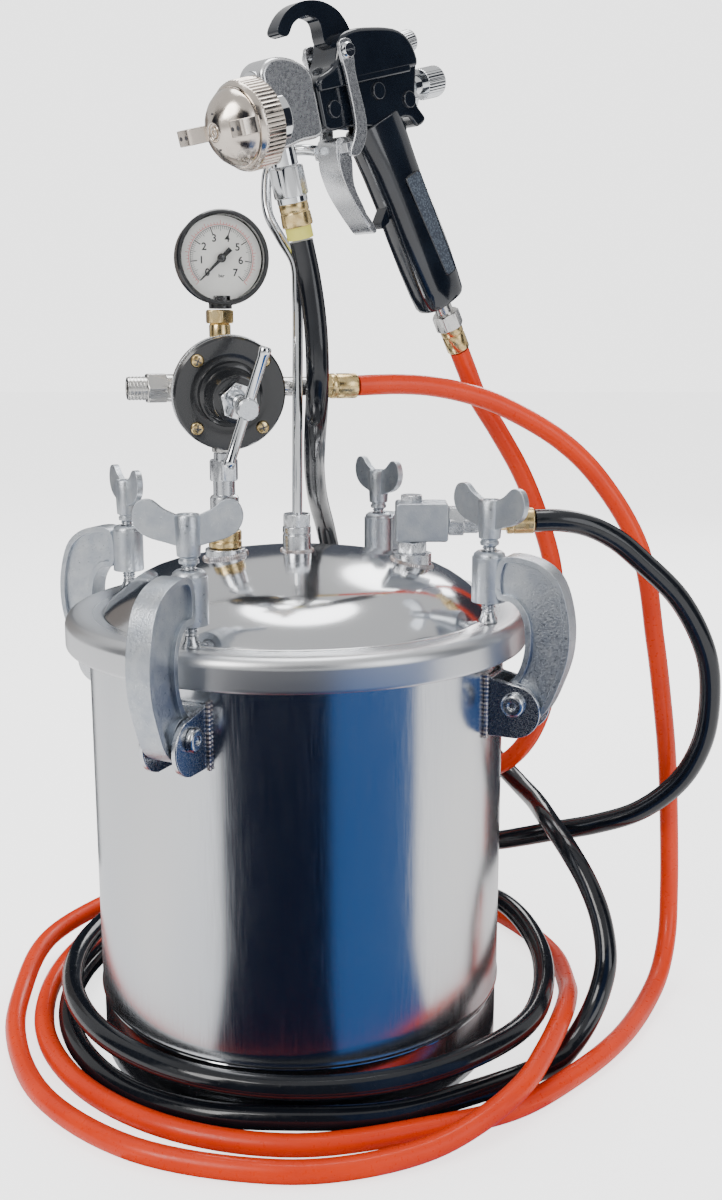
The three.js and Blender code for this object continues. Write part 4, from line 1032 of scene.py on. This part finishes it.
def make_studio():
    s = Shader("floor", (0.9, 0.9, 0.9), 0.0, 0.7)
    s.drive("Base Color", s.ramp(s.noise(3), (0.88, 0.88, 0.89), (0.92, 0.92, 0.92)))
    s.set(s.shader, "Emission Color", (1, 1, 1, 1))
    seen = s.nodes.new("ShaderNodeLightPath").outputs["Is Camera Ray"]
    strength = s.nodes.new("ShaderNodeMath")
    strength.operation = "MULTIPLY_ADD"
    s.links.new(seen, strength.inputs[0])
    strength.inputs[1].default_value, strength.inputs[2].default_value = 1.9, 0.1
    s.drive("Emission Strength", strength.outputs["Value"])
    half = FLOOR_HALF
    surface("floor", [(-half, -half, 0), (half, -half, 0), (half, half, 0), (-half, half, 0)],
            [(0, 1, 2, 3)], s.material)
    world = bpy.data.worlds.new("studio")
    world.use_nodes = True
    tree = world.node_tree
    backdrop = tree.nodes.new("ShaderNodeBackground")
    backdrop.inputs["Color"].default_value = (1, 1, 1, 1)
    backdrop.inputs["Strength"].default_value = 2.8
    room = tree.nodes["Background"]
    room.inputs["Color"].default_value = (1, 1, 1, 1)
    room.inputs["Strength"].default_value = 0.7
    mix = tree.nodes.new("ShaderNodeMixShader")
    seen = tree.nodes.new("ShaderNodeLightPath").outputs["Is Camera Ray"]
    tree.links.new(seen, mix.inputs["Fac"])
    tree.links.new(room.outputs["Background"], mix.inputs[1])
    tree.links.new(backdrop.outputs["Background"], mix.inputs[2])
    tree.links.new(mix.outputs["Shader"], tree.nodes["World Output"].inputs["Surface"])
    bpy.context.scene.world = world
    middle = (0, 0, 0.25)
    soft_light("key", (-1.3, -1.5, 1.7), middle, 1.3, 34, (1, 0.98, 0.95))
    soft_light("fill", (1.5, -1.2, 0.9), middle, 1.4, 10, (0.95, 0.97, 1))
    soft_light("top", (0, 0.4, 2.2), middle, 1.2, 20)
    soft_light("back", (0.6, 1.8, 1.2), middle, 1.0, 14)
    # The cards shape what the metal reflects, and the navy and blue ones colour it.
    card("navy_card", 0.3, (-31, 16), (0.001, 0.24), (0.008, 0.016, 0.05), 0.5)
    card("blue_card", 0.305, (15, 56), (0.001, 0.24), (0.04, 0.14, 0.42), 0.8)
    card("navy_floor", (0.128, 0.3), (-31, 16), (0.0006, 0.001), (0.008, 0.016, 0.05), 0.5)
    card("blue_floor", (0.128, 0.305), (15, 56), (0.0005, 0.0009), (0.04, 0.14, 0.42), 0.8)
    card("skirt_floor", (0.122, 0.15), (-180, 180), (0.0012, 0.0014), (0.02, 0.02, 0.025), 0.5, 48)
    card("edge_card", 0.32, (112, 140), (0.001, 0.4), (0.06, 0.06, 0.08), 0.6)
    card("left_card", 0.32, (-160, -128), (0.001, 0.4), (0.05, 0.06, 0.08), 0.6)
    card("low_back_card", 1.5, (140, 200), (0.1, 0.75), (0.1, 0.11, 0.14), 0.8)
    card("warm_back_card", 1.4, (200, 236), (0.1, 0.9), (0.3, 0.27, 0.25), 0.8)
    card("side_card", 1.3, (60, 96), (0.1, 1.4), (0.03, 0.035, 0.05), 0.6)
    card("side_card_left", 1.3, (-96, -64), (0.1, 1.4), (0.03, 0.035, 0.05), 0.6)
    card("front_card", 1.3, (-24, 22), (0.5, 1.3), (0.03, 0.035, 0.05), 0.6)


# -------------------- the object
make_camera()
M = make_materials()
hose("air_hose", AIR_ROUTE, AIR_HOSE, M["orange"])
hose("fluid_hose", FLUID_ROUTE, FLUID_HOSE, M["hose"])
make_pot()
make_lid()
for clamp, clamp_angle in CLAMPS.items():
    make_clamp(clamp, clamp_angle)
make_pipe()
make_regulator()
make_gauge()
make_outlet()
make_hook_rod()
make_gun_body()
make_gun_head()
make_trigger()
make_gun_fittings()
make_studio()
